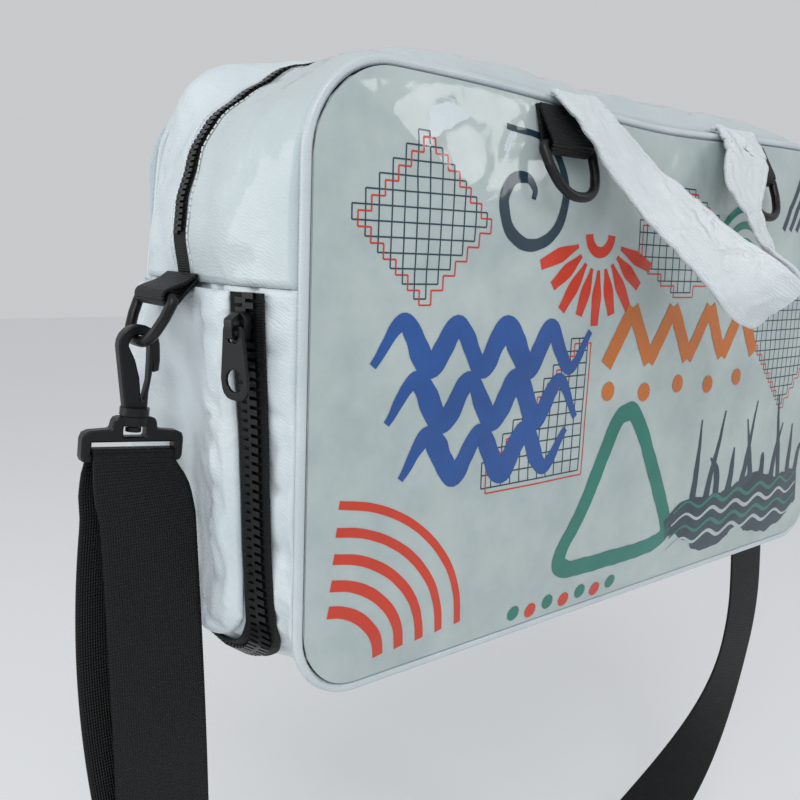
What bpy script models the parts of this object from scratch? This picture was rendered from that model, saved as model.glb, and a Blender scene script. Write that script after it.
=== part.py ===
"""A boxy zipped swim bag with piped panels, a side pocket, two handles and a hooked-on shoulder strap.

The bag is long in X and its printed front panel faces -Y. The origin is the middle of the flat
underside, +Z is up. Run in Blender 4.5: blender --background --python part.py
"""

import math

import bmesh
import bpy
from mathutils import Matrix, Vector

# Main body, in metres
BAG_LENGTH = 0.500
BAG_HEIGHT = 0.3085
BAG_DEPTH = 0.180
TOP_CORNER_RADIUS = 0.046
BOTTOM_CORNER_RADIUS = 0.034
SEAM_HEIGHT = 0.2035
BASE_DROP = 0.0029
TOP_SAG = 0.007
SIDE_BULGE = 0.019
POCKET_SAG = 0.009
CORNER_TUCK = 0.0085
BACK_TUCK = 0.009
PANEL_CROWN = 0.009
CLOTH_THICKNESS = 0.0016
FILM_THICKNESS = 0.0005
PIPING_DIAMETER = 0.0052
SEAT_GAP = 0.0003

# Main zip, its closed slider, and the side pocket with its own zip
MAIN_ZIP_WIDTH = 0.015
ZIP_TEETH_WIDTH = 0.009
ZIP_TEETH_HEIGHT = 0.0016
ZIP_TAPE_THICKNESS = 0.0012
SLIDER_LENGTH = 0.014
SLIDER_WIDTH = 0.012
SLIDER_HEIGHT = 0.0050
SLIDER_CROWN = 0.0042
MAIN_PULL_LENGTH = 0.026
POCKET_ZIP_WIDTH = 0.021
POCKET_ZIP_INSET = 0.0285
POCKET_BACK_MARGIN = 0.007
POCKET_PUFF = 0.021
POCKET_SLIDER_HEIGHT = 0.1855
PULLER_LENGTH = 0.034
PULLER_WIDTH = 0.018
PULLER_THICKNESS = 0.0018
PULLER_BAR = 0.0022
PULLER_EYE_LENGTH = 0.0058
PULLER_HOLE_RADIUS = 0.0056

# Side tabs, rings and swivel hooks
TAB_WIDTH = 0.036
WEBBING_THICKNESS = 0.0015
RING_PLAY = 0.0022
SIDE_RING_WIRE = 0.0056
SIDE_RING_HEIGHT = 0.0250
SIDE_RING_REACH = 0.0150
SIDE_RING_DROP = 0.0080
SIDE_RING_LEAN = math.radians(25.0)
HOOK_THICKNESS = 0.0066
HOOK_EYE_RADIUS = 0.0054
HOOK_WIRE = 0.0053
HOOK_SHIFT = 0.0021
HOOK_LENGTH = 0.0330
COLLAR_RADIUS = 0.0074
COLLAR_HEIGHT = 0.0028
SWIVEL_PIN_RADIUS = 0.0026
SWIVEL_CLEARANCE = 0.0005
BASE_TILT = math.radians(5.4)
BASE_THICKNESS = 0.0070
BASE_NECK = 0.0216
BOSS_RADIUS = 0.0072
BOSS_HEIGHT = 0.0046
WINDOW_WIDTH = 0.0120
WINDOW_HEIGHT = 0.0056
SHOULDER_DROP = 0.0074
SLOT_DROP = 0.0130
SLOT_WIDTH = 0.0430
SLOT_HEIGHT = 0.0060
SLOT_BAR = 0.0044
BASE_SIDE_BAR = 0.0050

# Shoulder strap
STRAP_WIDTH = 0.0505
PINCHED_WIDTH = 0.0422
PINCH_LENGTH = 0.018
STRAP_LENGTH = 1.260
STRAP_LEAN = math.radians(0.2)
STRAP_STRAIGHT = 0.30
STRAP_FORWARD = 0.030
STRAP_DRIFT = 0.0058
DOUBLED_LENGTH = 0.250
RETURN_TAIL = 0.022
SEWN_END = 0.045
PLY_SLACK = 0.0060
PLY_SKEW = 0.0120
KEEPER_HEIGHT = 0.014
KEEPER_WALL = 0.0028

# Front rings on their webbing tabs
FRONT_TAB_WIDTH = 0.032
FRONT_TAB_PLACE = 0.154
FRONT_TAB_DROP = 0.0280
FRONT_TAB_STAND = 0.0018
FRONT_RING_WIRE = 0.0054
FRONT_RING_HEIGHT = 0.0290
FRONT_RING_LEAN = math.radians(24.0)

# Handles
HANDLE_WIDTH = 0.038
HANDLE_THICKNESS = 0.0024
HANDLE_SPREAD = 0.164
HANDLE_DROP = 0.108
HANDLE_STAND = 0.088

# Bulge of the side and top bands along the outline, as shares of SIDE_BULGE. A station's whole
# number names the stretch: 0 underside, 1 lower corner, 2 side under the seam, 3 side over the
# seam, 4 upper corner, 5 top. Its fraction is the share of the way along that stretch.
BAND_BULGE = (
    # station, bulge
    (1.00, 0.00),
    (2.00, 0.20),
    (2.50, 0.50),
    (3.00, 0.84),
    (3.38, 1.00),
    (3.67, 0.92),
    (4.00, 0.62),
    (4.25, 0.30),
    (4.50, 0.03),
    (4.75, 0.05),
    (5.00, 0.46),
    (5.14, 0.88),
    (5.32, 1.02),
    (5.60, 1.12),
    (6.00, 1.20),
)

# How far in from its edge a band reaches its full bulge, as a share of half the depth.
BAND_EDGE = (
    # station, share
    (1.00, 0.16),
    (2.00, 0.60),
    (4.00, 0.60),
    (5.00, 0.42),
    (6.00, 0.36),
)

# Extra bulge of the back half of the bands, at its fullest three quarters of the way back.
BACK_BULGE = (
    # station, bulge
    (3.00, 0.00),
    (3.60, -0.10),
    (4.00, -0.22),
    (4.25, 0.10),
    (4.50, 0.72),
    (4.75, 0.82),
    (5.00, 0.50),
    (5.30, 0.16),
    (6.00, 0.00),
)

# How far the back outline is tucked in along its sides, as shares of BACK_TUCK.
BACK_LEAN = (
    # station, tuck
    (2.60, 0.00),
    (3.20, 0.30),
    (3.70, 0.80),
    (4.10, 1.00),
    (4.35, 0.80),
    (4.60, 0.25),
    (4.90, 0.00),
)

# How the pocket drags the lower left corner outwards, as shares of POCKET_SAG.
CORNER_SAG = (
    # station, sag
    (1.00, 0.00),
    (1.25, 0.16),
    (1.50, 0.60),
    (1.75, 1.00),
    (2.00, 0.56),
    (2.15, 0.22),
    (2.40, 0.00),
)

# Section of the puffed pocket panel from its zip to its back edge, as shares of POCKET_PUFF. The
# strap and its hook hang over the valley.
POCKET_SECTION = (
    # across, puff
    (0.00, 0.00),
    (0.06, 0.26),
    (0.14, 0.34),
    (0.23, 0.10),
    (0.32, 0.00),
    (0.46, 0.03),
    (0.58, 0.52),
    (0.72, 1.00),
    (0.85, 0.86),
    (0.94, 0.50),
    (1.00, 0.00),
)

# Folds of the puffed pocket panel: each runs between two points of the panel, given as shares
# from its zip to its back edge and from its bottom to the seam. Depth is a share of POCKET_PUFF.
POCKET_FOLDS = (
    # start across, start up, end across, end up, width, depth
    (0.56, 1.00, 0.74, 0.45, 0.09, 0.16),
    (0.80, 0.30, 0.95, 0.75, 0.08, 0.12),
    (0.06, 0.62, 0.28, 0.40, 0.09, 0.10),
)

# Middle line of a handle from its left root to the middle of its loop. Across is a share of half
# of HANDLE_SPREAD, out of HANDLE_STAND, down of HANDLE_DROP. The last three columns point across
# the band's width: to the right, out from the panel, and up.
HANDLE_PATH = (
    # across, out, down, right, forward, up
    (0.00, -0.006, -0.0108, 1.00, 0.00, 0.00),
    (0.01, 0.045, -0.0010, 1.00, 0.00, 0.00),
    (0.04, 0.125, 0.070, 0.98, -0.12, 0.05),
    (0.14, 0.225, 0.200, 0.93, -0.18, 0.24),
    (0.35, 0.330, 0.380, 0.89, -0.14, 0.38),
    (0.52, 0.560, 0.590, 0.86, -0.02, 0.51),
    (0.71, 0.770, 0.785, 0.78, 0.10, 0.60),
    (0.88, 0.930, 0.935, 0.40, 0.60, 0.66),
    (1.00, 1.000, 1.000, 0.00, 0.78, 0.63),
)

PIPING_RADIUS = PIPING_DIAMETER / 2
EDGE_INSET = PIPING_RADIUS + SEAT_GAP
HALF_LENGTH = BAG_LENGTH / 2
HALF_DEPTH = BAG_DEPTH / 2


def clear_scene():
    """Removes whatever the scene holds."""
    for item in list(bpy.data.objects):
        bpy.data.objects.remove(item, do_unlink=True)


def new_collection(name):
    """Returns a collection of this name in the scene."""
    collection = bpy.data.collections.get(name) or bpy.data.collections.new(name)
    if collection.name not in bpy.context.scene.collection.children:
        bpy.context.scene.collection.children.link(collection)
    return collection


def material(name, colour, roughness, alpha=1.0):
    """Returns a Principled material of one colour."""
    made = bpy.data.materials.get(name) or bpy.data.materials.new(name)
    made.use_nodes = True
    shader = made.node_tree.nodes["Principled BSDF"]
    shader.inputs["Base Color"].default_value = (*colour, 1.0)
    shader.inputs["Roughness"].default_value = roughness
    shader.inputs["Metallic"].default_value = 0.0
    shader.inputs["Alpha"].default_value = alpha
    return made


def white_cloth():
    return material("coated_white_cloth", (0.80, 0.84, 0.85), 0.42)


def printed_cloth():
    return material("printed_panel_cloth", (0.62, 0.68, 0.68), 0.45)


def clear_film():
    return material("clear_film", (0.90, 0.94, 0.95), 0.08, 0.25)


def black_webbing():
    return material("black_webbing", (0.012, 0.013, 0.016), 0.55)


def black_plastic():
    return material("black_moulded_plastic", (0.010, 0.011, 0.013), 0.38)


def black_zip():
    return material("black_zip", (0.011, 0.012, 0.014), 0.50)


def place(mesh, name, finish):
    """Puts a mesh into the bag's collection as a named part."""
    part = bpy.data.objects.new(name, mesh)
    part.data.materials.clear()
    part.data.materials.append(finish)
    new_collection("swim_bag").objects.link(part)
    return part


def smooth(mesh, angle=math.radians(35.0)):
    """Shades a mesh smooth except at its sharp edges."""
    mesh.shade_smooth()
    mesh.set_sharp_from_angle(angle=angle)


def lerp(a, b, share):
    return a + (b - a) * share


def ease(share):
    """Smooth step from 0 to 1."""
    share = max(0.0, min(1.0, share))
    return share * share * (3.0 - 2.0 * share)


def table_value(table, place_along, column=1):
    """Reads a column of a table of rows sorted by their first column, with eased steps."""
    if place_along <= table[0][0]:
        return table[0][column]
    for low, high in zip(table, table[1:]):
        if place_along <= high[0]:
            share = (place_along - low[0]) / (high[0] - low[0])
            eased = share * share * (3.0 - 2.0 * share)
            return lerp(low[column], high[column], lerp(share, eased, 0.5))
    return table[-1][column]


def spline_point(points, share):
    """Point at a share of a smooth curve through all the given points."""
    spans = len(points) - 1
    index = min(int(share * spans), spans - 1)
    t = share * spans - index
    p1, p2 = points[index], points[index + 1]
    p0 = points[index - 1] if index else p1 * 2 - p2
    p3 = points[index + 2] if index + 2 <= spans else p2 * 2 - p1
    return (
        p1 * 2
        + (p2 - p0) * t
        + (p0 * 2 - p1 * 5 + p2 * 4 - p3) * t * t
        + (p1 * 3 - p0 - p2 * 3 + p3) * t * t * t
    ) * 0.5


def outline(station):
    """Point and outward direction of the left half of the panel outline, in X and Z."""
    stretch = min(int(station), 5)
    share = station - stretch
    low_x = -HALF_LENGTH + BOTTOM_CORNER_RADIUS
    low_z = BASE_DROP + BOTTOM_CORNER_RADIUS
    high_x = -HALF_LENGTH + TOP_CORNER_RADIUS
    high_z = BAG_HEIGHT - TOP_CORNER_RADIUS
    if stretch == 0:
        return Vector((low_x * share, BASE_DROP)), Vector((0.0, -1.0))
    if stretch == 1:
        angle = math.pi * (1.5 - 0.5 * share)
        out = Vector((math.cos(angle), math.sin(angle)))
        return Vector((low_x, low_z)) + out * BOTTOM_CORNER_RADIUS, out
    if stretch == 2:
        return Vector((-HALF_LENGTH, lerp(low_z, SEAM_HEIGHT, share))), Vector((-1.0, 0.0))
    if stretch == 3:
        return Vector((-HALF_LENGTH, lerp(SEAM_HEIGHT, high_z, share))), Vector((-1.0, 0.0))
    if stretch == 4:
        angle = math.pi * (1.0 - 0.5 * share)
        out = Vector((math.cos(angle), math.sin(angle)))
        return Vector((high_x, high_z)) + out * TOP_CORNER_RADIUS, out
    top = BAG_HEIGHT - TOP_SAG * math.sin(0.5 * math.pi * share) ** 3
    return Vector((high_x * (1.0 - share), top)), Vector((0.0, 1.0))


def rim(station, depth_share=0.0):
    """The outline at a share of the depth from the front, where the back is tucked in a little."""
    point, out = outline(station)
    tuck = BACK_TUCK * table_value(BACK_LEAN, station) * max(0.0, 2.0 * depth_share - 1.0) ** 1.5
    return point + Vector((tuck, 0.0)), out


def station_at_height(height):
    """Station on the straight side that lies at this height."""
    low_z = BASE_DROP + BOTTOM_CORNER_RADIUS
    if height <= SEAM_HEIGHT:
        return 2.0 + (height - low_z) / (SEAM_HEIGHT - low_z)
    return 3.0 + (height - SEAM_HEIGHT) / (BAG_HEIGHT - TOP_CORNER_RADIUS - SEAM_HEIGHT)


def arc_length(station):
    """Length along the left outline from the middle of the underside to a station."""
    lengths = (
        HALF_LENGTH - BOTTOM_CORNER_RADIUS,
        0.5 * math.pi * BOTTOM_CORNER_RADIUS,
        SEAM_HEIGHT - BASE_DROP - BOTTOM_CORNER_RADIUS,
        BAG_HEIGHT - TOP_CORNER_RADIUS - SEAM_HEIGHT,
        0.5 * math.pi * TOP_CORNER_RADIUS,
        HALF_LENGTH - TOP_CORNER_RADIUS,
    )
    return sum(length * max(0.0, min(1.0, station - k)) for k, length in enumerate(lengths))


def bulge(station, depth_share, side):
    """How far a band stands out from the panel outline at this place."""
    flat = BASE_DROP * max(0.0, 1.0 - max(0.0, station - 1.0))
    height = flat + SIDE_BULGE * table_value(BAND_BULGE, station)
    from_edge = 1.0 - abs(2.0 * depth_share - 1.0)
    height *= math.sin(0.5 * math.pi * min(1.0, from_edge / table_value(BAND_EDGE, station)))
    if depth_share > 0.5:
        swell = math.sin(2.0 * math.pi * (depth_share - 0.5)) ** 2
        height += SIDE_BULGE * table_value(BACK_BULGE, station) * swell
    if side < 0:
        drag = ease((from_edge - 0.14) / 0.42)
        height += POCKET_SAG * table_value(CORNER_SAG, station) * drag
        tuck = math.sin(math.pi * max(0.0, min(1.0, (station - 1.0) / 1.2))) ** 2
        tuck *= ease(depth_share / 0.10) * (1.0 - ease((depth_share - 0.15) / 0.24))
        height -= CORNER_TUCK * tuck
    return height


def skin(station, depth_share, lift=0.0, side=-1):
    """Point on the outside of a band. Side is -1 for the left half and 1 for the right."""
    point, out = rim(station, depth_share)
    point = point + out * (bulge(station, depth_share, side) + lift)
    return Vector((point.x * -side, lerp(-HALF_DEPTH, HALF_DEPTH, depth_share), point.y))


def skin_frame(station, depth_share):
    """Point on the left band, its direction to the back, its direction up the side, and outward."""
    step = 0.002
    here = skin(station, depth_share)
    back = (skin(station, depth_share + step) - skin(station, depth_share - step)).normalized()
    up = (skin(station + step, depth_share) - skin(station - step, depth_share)).normalized()
    out = up.cross(back).normalized()
    return here, back, up, out


def round_trip(stations):
    """Stations of the left half, then the same ones back along the right half."""
    left = [(station, -1) for station in stations]
    right = [(station, 1) for station in reversed(stations)]
    if stations[-1] in (0.0, 6.0):
        right = right[1:]
    return left + right


def grid_mesh(name, rows, closed=False):
    """Open surface of quads through rows of points. Its front is rows cross columns."""
    mesh = bmesh.new()
    verts = [[mesh.verts.new(point) for point in row] for row in rows]
    count = len(rows) if closed else len(rows) - 1
    for i in range(count):
        upper, lower = verts[i], verts[(i + 1) % len(rows)]
        for j in range(len(upper) - 1):
            mesh.faces.new((upper[j], lower[j], lower[j + 1], upper[j + 1]))
    made = bpy.data.meshes.new(name)
    mesh.to_mesh(made)
    mesh.free()
    return made


def shell(name, rows, thickness, finish, offset=-1.0):
    """A cloth, film or webbing wall through rows of points, thickened by Solidify."""
    mesh = grid_mesh(name, rows)
    smooth(mesh)
    part = place(mesh, name, finish)
    wall = part.modifiers.new("wall", "SOLIDIFY")
    wall.thickness = thickness
    wall.offset = offset
    return part


def as_mesh(curve_object, name):
    """Turns a curve into a welded mesh in world space and removes the curve."""
    bpy.context.view_layer.update()
    evaluated = curve_object.evaluated_get(bpy.context.evaluated_depsgraph_get())
    made = bpy.data.meshes.new_from_object(evaluated)
    made.name = name
    made.transform(curve_object.matrix_world)
    work = bmesh.new()
    work.from_mesh(made)
    bmesh.ops.remove_doubles(work, verts=work.verts, dist=1e-6)
    bmesh.ops.recalc_face_normals(work, faces=work.faces)
    work.to_mesh(made)
    work.free()
    bpy.data.objects.remove(curve_object, do_unlink=True)
    return made


def flat_curve(name, outlines, thickness, bevel):
    """A flat 2D curve of one outline and its holes, with chamfered edges."""
    curve = bpy.data.curves.new(name, "CURVE")
    curve.dimensions = "2D"
    curve.fill_mode = "BOTH"
    curve.extrude = thickness / 2 - bevel
    curve.bevel_depth = bevel
    curve.bevel_resolution = 0
    curve.offset = -bevel
    for outline in outlines:
        spline = curve.splines.new("POLY")
        spline.points.add(len(outline) - 1)
        for point, (x, y) in zip(spline.points, outline):
            point.co = (x, y, 0.0, 1.0)
        spline.use_cyclic_u = True
    made = bpy.data.objects.new(name, curve)
    bpy.context.scene.collection.objects.link(made)
    return made


def plate(name, outlines, thickness, frame, bevel=0.0005):
    """Mesh of a flat outline with holes. The frame places its x, y and thickness directions."""
    curve_object = flat_curve(name, outlines, thickness, bevel)
    curve_object.matrix_world = frame
    return as_mesh(curve_object, name)


def axes_frame(origin, x_axis, y_axis):
    """Matrix that carries local x and y to these directions and z to their cross product."""
    z_axis = x_axis.cross(y_axis)
    turn = Matrix((x_axis, y_axis, z_axis)).transposed().to_4x4()
    return Matrix.Translation(origin) @ turn


def tube(name, points, radius, finish, resolution=2):
    """A closed ring of round wire through these points, as a bevelled curve."""
    curve = bpy.data.curves.new(name, "CURVE")
    curve.dimensions = "3D"
    curve.bevel_depth = radius
    curve.bevel_resolution = resolution
    curve.use_fill_caps = True
    spline = curve.splines.new("POLY")
    spline.points.add(len(points) - 1)
    for spot, point in zip(spline.points, points):
        spot.co = (*point, 1.0)
    spline.use_cyclic_u = True
    made = bpy.data.objects.new(name, curve)
    made.data.materials.append(finish)
    new_collection("swim_bag").objects.link(made)
    return made


def cylinder_mesh(name, radius, low, high, sides=16):
    """Mesh of a cylinder between two points."""
    axis = high - low
    turn = Vector((0.0, 0.0, 1.0)).rotation_difference(axis).to_matrix().to_4x4()
    work = bmesh.new()
    bmesh.ops.create_cone(
        work,
        cap_ends=True,
        segments=sides,
        radius1=radius,
        radius2=radius,
        depth=axis.length,
        matrix=Matrix.Translation((low + high) / 2) @ turn,
    )
    made = bpy.data.meshes.new(name)
    work.to_mesh(made)
    work.free()
    return made


def hinge_origin(name, point):
    """Moves a piece's origin onto its joint's axis and leaves its shape where it is."""
    part = bpy.data.objects[name]
    part.data.transform(Matrix.Translation(-point))
    part.location = point


def cutter(mesh, name):
    """Puts a mesh into the cutters' collection, where it isn't rendered."""
    tool = bpy.data.objects.new(name, mesh)
    tool.display_type = "WIRE"
    tool.hide_render = True
    new_collection("cutters").objects.link(tool)
    return tool


def combine(part, mesh, name, operation):
    """Joins a mesh to a part, or cuts it away, with a Boolean."""
    modifier = part.modifiers.new(name, "BOOLEAN")
    modifier.object = cutter(mesh, name)
    modifier.operation = operation
    return part


def rounded(corners, steps=3):
    """Outline through corners given as x, y and radius, with an arc at each rounded one."""
    points = []
    for index, (x, y, radius) in enumerate(corners):
        corner = Vector((x, y))
        if radius <= 0.0:
            points.append(corner)
            continue
        before = (Vector(corners[index - 1][:2]) - corner).normalized()
        after = (Vector(corners[(index + 1) % len(corners)][:2]) - corner).normalized()
        half = before.angle(after) / 2
        centre = corner + (before + after).normalized() * (radius / math.sin(half))
        start = corner + before * (radius / math.tan(half)) - centre
        end = corner + after * (radius / math.tan(half)) - centre
        first = math.atan2(start.y, start.x)
        turn = (math.atan2(end.y, end.x) - first + math.pi) % (2 * math.pi) - math.pi
        for step in range(steps + 1):
            angle = first + turn * step / steps
            points.append(centre + Vector((math.cos(angle), math.sin(angle))) * radius)
    return points


def circle(x, y, radius, sides=14):
    """Outline of a round hole."""
    angles = (2 * math.pi * k / sides for k in range(sides))
    return [Vector((x + radius * math.cos(a), y + radius * math.sin(a))) for a in angles]


def rim_stations(first, last):
    """Stations from one to another, close together in the corners."""
    counts = {0: 2, 1: 4, 2: 4, 3: 3, 4: 5, 5: 4}
    stations = [first]
    for stretch, count in counts.items():
        for k in range(count + 1):
            station = stretch + k / count
            if min(first, last) + 0.03 < station < max(first, last) - 0.03:
                stations.append(station)
    stations.append(last)
    return sorted(set(round(station, 6) for station in stations), reverse=first > last)


def panel_rings(inset, plane, crown, side):
    """Rings of points of a crowned panel, from its edge to its middle."""
    middle = Vector((0.0, (BASE_DROP + BAG_HEIGHT) / 2))
    edge = []
    for station, half in round_trip(rim_stations(0.0, 6.0))[:-1]:
        point, out = rim(station, 0.5 + 0.5 * side)
        point = point - out * inset
        edge.append(Vector((point.x * -half, point.y)))
    rings = []
    for reach in (1.0, 0.93, 0.80, 0.58):
        height = crown * (1.0 - reach**4)
        ring = [middle + (point - middle) * reach for point in edge]
        rings.append([Vector((p.x, side * (plane + height), p.y)) for p in ring])
    return rings


def panel(name, side, stand, crown, thickness, finish):
    """A crowned sheet inside the piping. Stand is how far its face stands off the outline."""
    rings = panel_rings(EDGE_INSET, HALF_DEPTH + stand, crown, side)
    work = bmesh.new()
    verts = [[work.verts.new(point) for point in ring] for ring in rings]
    count = len(rings[0])
    for outer, inner in zip(verts, verts[1:]):
        for k in range(count):
            nxt = (k + 1) % count
            work.faces.new((outer[k], outer[nxt], inner[nxt], inner[k]))
    work.faces.new(verts[-1])
    bmesh.ops.recalc_face_normals(work, faces=work.faces)
    if sum(face.normal.y * face.calc_area() for face in work.faces) * side < 0.0:
        bmesh.ops.reverse_faces(work, faces=work.faces)
    mesh = bpy.data.meshes.new(name)
    work.to_mesh(mesh)
    work.free()
    smooth(mesh)
    part = place(mesh, name, finish)
    wall = part.modifiers.new("wall", "SOLIDIFY")
    wall.thickness = thickness
    wall.offset = -1.0
    return part


def build_panels():
    """Printed front panel under its clear film, plain back panel."""
    half_cloth = CLOTH_THICKNESS / 2
    panel("front_panel", -1, half_cloth, PANEL_CROWN, CLOTH_THICKNESS, printed_cloth())
    film_stand = half_cloth + SEAT_GAP + FILM_THICKNESS
    panel("front_film", -1, film_stand, PANEL_CROWN, FILM_THICKNESS, clear_film())
    panel("back_panel", 1, half_cloth, PANEL_CROWN, CLOTH_THICKNESS, white_cloth())


def build_piping():
    """Piping all round the front and the back panel."""
    for name, side in (("front_piping", -1), ("back_piping", 1)):
        points = []
        for station, half in round_trip(rim_stations(0.0, 6.0))[:-1]:
            point, _ = rim(station, 0.5 + 0.5 * side)
            points.append(Vector((point.x * -half, side * HALF_DEPTH, point.y)))
        tube(name, points, PIPING_RADIUS, white_cloth(), resolution=1)


def band_rows(first, last, depth_shares):
    """Rows of points of a band, from a left station through the middle to the right one."""
    stations = round_trip(rim_stations(first, last))
    return [[skin(station, share, side=half) for share in depth_shares] for station, half in stations]


def build_bands():
    """Two top bands beside the main zip, and one band under the seams for the sides and base."""
    edge = EDGE_INSET / BAG_DEPTH
    zip_edge = 0.5 - (MAIN_ZIP_WIDTH / 2 + SEAT_GAP) / BAG_DEPTH
    seam_gap = SEAT_GAP / 2 / (BAG_HEIGHT - TOP_CORNER_RADIUS - SEAM_HEIGHT)
    front = [lerp(edge, zip_edge, share) for share in (0.0, 0.12, 0.28, 0.48, 0.74, 1.0)]
    back = [1.0 - share for share in reversed(front)]
    for name, shares in (("top_band_front", front), ("top_band_back", back)):
        rows = band_rows(3.0 + seam_gap, 6.0, shares)
        shell(name, rows, CLOTH_THICKNESS, white_cloth())
    lower_gap = SEAT_GAP / 2 / (SEAM_HEIGHT - BASE_DROP - BOTTOM_CORNER_RADIUS)
    half = [edge, 0.045, 0.08, 0.165, 0.27, 0.42]
    shares = half + [1.0 - share for share in reversed(half)]
    rows = list(reversed(band_rows(3.0 - lower_gap, 0.0, shares)))
    shell("lower_band", rows, CLOTH_THICKNESS, white_cloth())


def zip_profile(width):
    """Places across a zip and their heights: flat tape with raised closed teeth."""
    half = width / 2
    tooth = ZIP_TEETH_WIDTH / 2
    slope = 0.0006
    top = ZIP_TAPE_THICKNESS + ZIP_TEETH_HEIGHT
    return (
        (-half, ZIP_TAPE_THICKNESS),
        (-tooth - slope, ZIP_TAPE_THICKNESS),
        (-tooth, top),
        (tooth, top),
        (tooth + slope, ZIP_TAPE_THICKNESS),
        (half, ZIP_TAPE_THICKNESS),
    )


def build_main_zip():
    """The main zip runs from side seam to side seam over the top, at mid-depth."""
    rows = []
    sink = ZIP_TAPE_THICKNESS
    for station, half in round_trip(rim_stations(3.0 + 0.01, 6.0)):
        row = []
        fade = max(0.0, min(1.0, (station - 3.06) / 0.10))
        for across, height in zip_profile(MAIN_ZIP_WIDTH):
            share = 0.5 + across / BAG_DEPTH
            row.append(skin(station, share, (height - sink) * fade, half))
        rows.append(row)
    shell("main_zip", rows, ZIP_TAPE_THICKNESS, black_zip())


def build_main_slider():
    """A closed slider with its pull, at the right end of the main zip, as one plain piece."""
    point, _, up, out = skin_frame(3.60, 0.5)
    foot = point + out * (ZIP_TEETH_HEIGHT + 2 * SEAT_GAP)
    foot, up, out = (Vector((-v.x, v.y, v.z)) for v in (foot, up, out))
    top = SLIDER_HEIGHT + SLIDER_CROWN
    pull = MAIN_PULL_LENGTH
    outline = rounded(
        (
            (0.0, -SLIDER_LENGTH / 2, 0.001),
            (SLIDER_HEIGHT, -SLIDER_LENGTH / 2, 0.001),
            (SLIDER_HEIGHT, 0.0, 0.0),
            (SLIDER_HEIGHT + 0.0012, 0.0, 0.0),
            (SLIDER_HEIGHT + 0.0012, -pull, 0.0008),
            (top, -pull, 0.0008),
            (top, SLIDER_LENGTH / 2 - 0.002, 0.002),
            (SLIDER_HEIGHT, SLIDER_LENGTH / 2, 0.001),
            (0.0, SLIDER_LENGTH / 2, 0.001),
        ),
        steps=2,
    )
    mesh = plate("main_zip_slider", [outline], SLIDER_WIDTH * 0.8, axes_frame(foot, out, up), 0.0)
    place(mesh, "main_zip_slider", black_plastic())


def pocket_zip_path():
    """Middle of the pocket zip as pairs of station and depth share, from the seam to the back."""
    inset = POCKET_ZIP_INSET / BAG_DEPTH
    along = (
        # station, depth share
        (2.985, inset),
        (2.60, inset),
        (2.25, inset),
        (2.00, inset),
        (1.84, inset + 0.014),
        (1.70, inset + 0.050),
        (1.58, inset + 0.120),
        (1.52, inset + 0.220),
        (1.50, inset + 0.420),
        (1.50, 0.93),
    )
    return [Vector(row) for row in along]


def build_pocket_zip():
    """The pocket's zip, down the side and back under the pocket."""
    path = pocket_zip_path()
    count = 24
    rows = []
    for k in range(count + 1):
        here = spline_point(path, k / count)
        ahead = spline_point(path, min(1.0, k / count + 0.01))
        behind = spline_point(path, max(0.0, k / count - 0.01))
        along = (skin(*ahead) - skin(*behind)).normalized()
        point, _, _, out = skin_frame(*here)
        across = out.cross(along).normalized()
        lift = out * (3 * SEAT_GAP)
        row = [point + lift + across * a + out * h for a, h in zip_profile(POCKET_ZIP_WIDTH)]
        rows.append(row)
    shell("pocket_zip", rows, ZIP_TAPE_THICKNESS, black_zip())


def pocket_fold(across, up):
    """Depth of the folds at a place of the pocket panel, as a share of its puff."""
    depth = 0.0
    here = Vector((across, up))
    for x0, y0, x1, y1, width, amount in POCKET_FOLDS:
        start, end = Vector((x0, y0)), Vector((x1, y1))
        run = end - start
        share = max(0.0, min(1.0, (here - start).dot(run) / run.length_squared))
        away = (here - (start + run * share)).length / width
        fade = math.sin(math.pi * max(0.06, min(0.94, share)))
        depth += amount * fade * math.exp(-away * away)
    return depth


def zip_inner_edge(clearance):
    """Inner edge of the pocket zip as pairs of station and depth share, from the seam on."""
    path = pocket_zip_path()
    flat = [Vector((arc_length(spot.x), spot.y * BAG_DEPTH)) for spot in path]
    corner = 0.5 * math.pi * BOTTOM_CORNER_RADIUS
    straight = SEAM_HEIGHT - BASE_DROP - BOTTOM_CORNER_RADIUS
    edge = []
    for k in range(81):
        here = spline_point(flat, k / 80)
        ahead = spline_point(flat, min(1.0, k / 80 + 0.01))
        behind = spline_point(flat, max(0.0, k / 80 - 0.01))
        along = (ahead - behind).normalized()
        inner = here + Vector((along.y, -along.x)) * (POCKET_ZIP_WIDTH / 2 + clearance)
        beyond = inner.x - arc_length(2.0)
        station = 2.0 + (beyond / straight if beyond > 0.0 else beyond / corner)
        edge.append((station, inner.y / BAG_DEPTH))
    return edge


def pocket_front(station, edge):
    """Depth share of the pocket's front edge at a station, beside its zip."""
    for (upper, share), (lower, next_share) in zip(edge, edge[1:]):
        if lower <= station <= upper and upper > lower:
            return lerp(share, next_share, (upper - station) / (upper - lower))
    return edge[0][1] if station > edge[0][0] else edge[len(edge) // 2][1]


def pocket_point(across, up, edge):
    """Point of the puffed pocket panel at a share from zip to back and from bottom to seam."""
    back = 1.0 - (EDGE_INSET + POCKET_BACK_MARGIN) / BAG_DEPTH
    station = lerp(edge[-1][0] + 0.015, 2.985, up)
    front = pocket_front(station, edge)
    rise = math.sin(math.pi * min(1.0, max(0.0, up))) ** 0.45
    folds = 1.0 - pocket_fold(across, up)
    puff = POCKET_PUFF * max(0.0, table_value(POCKET_SECTION, across) * rise * folds)
    lift = 3 * SEAT_GAP + CLOTH_THICKNESS + puff
    return skin(station, lerp(front, back, across), lift)


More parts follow.
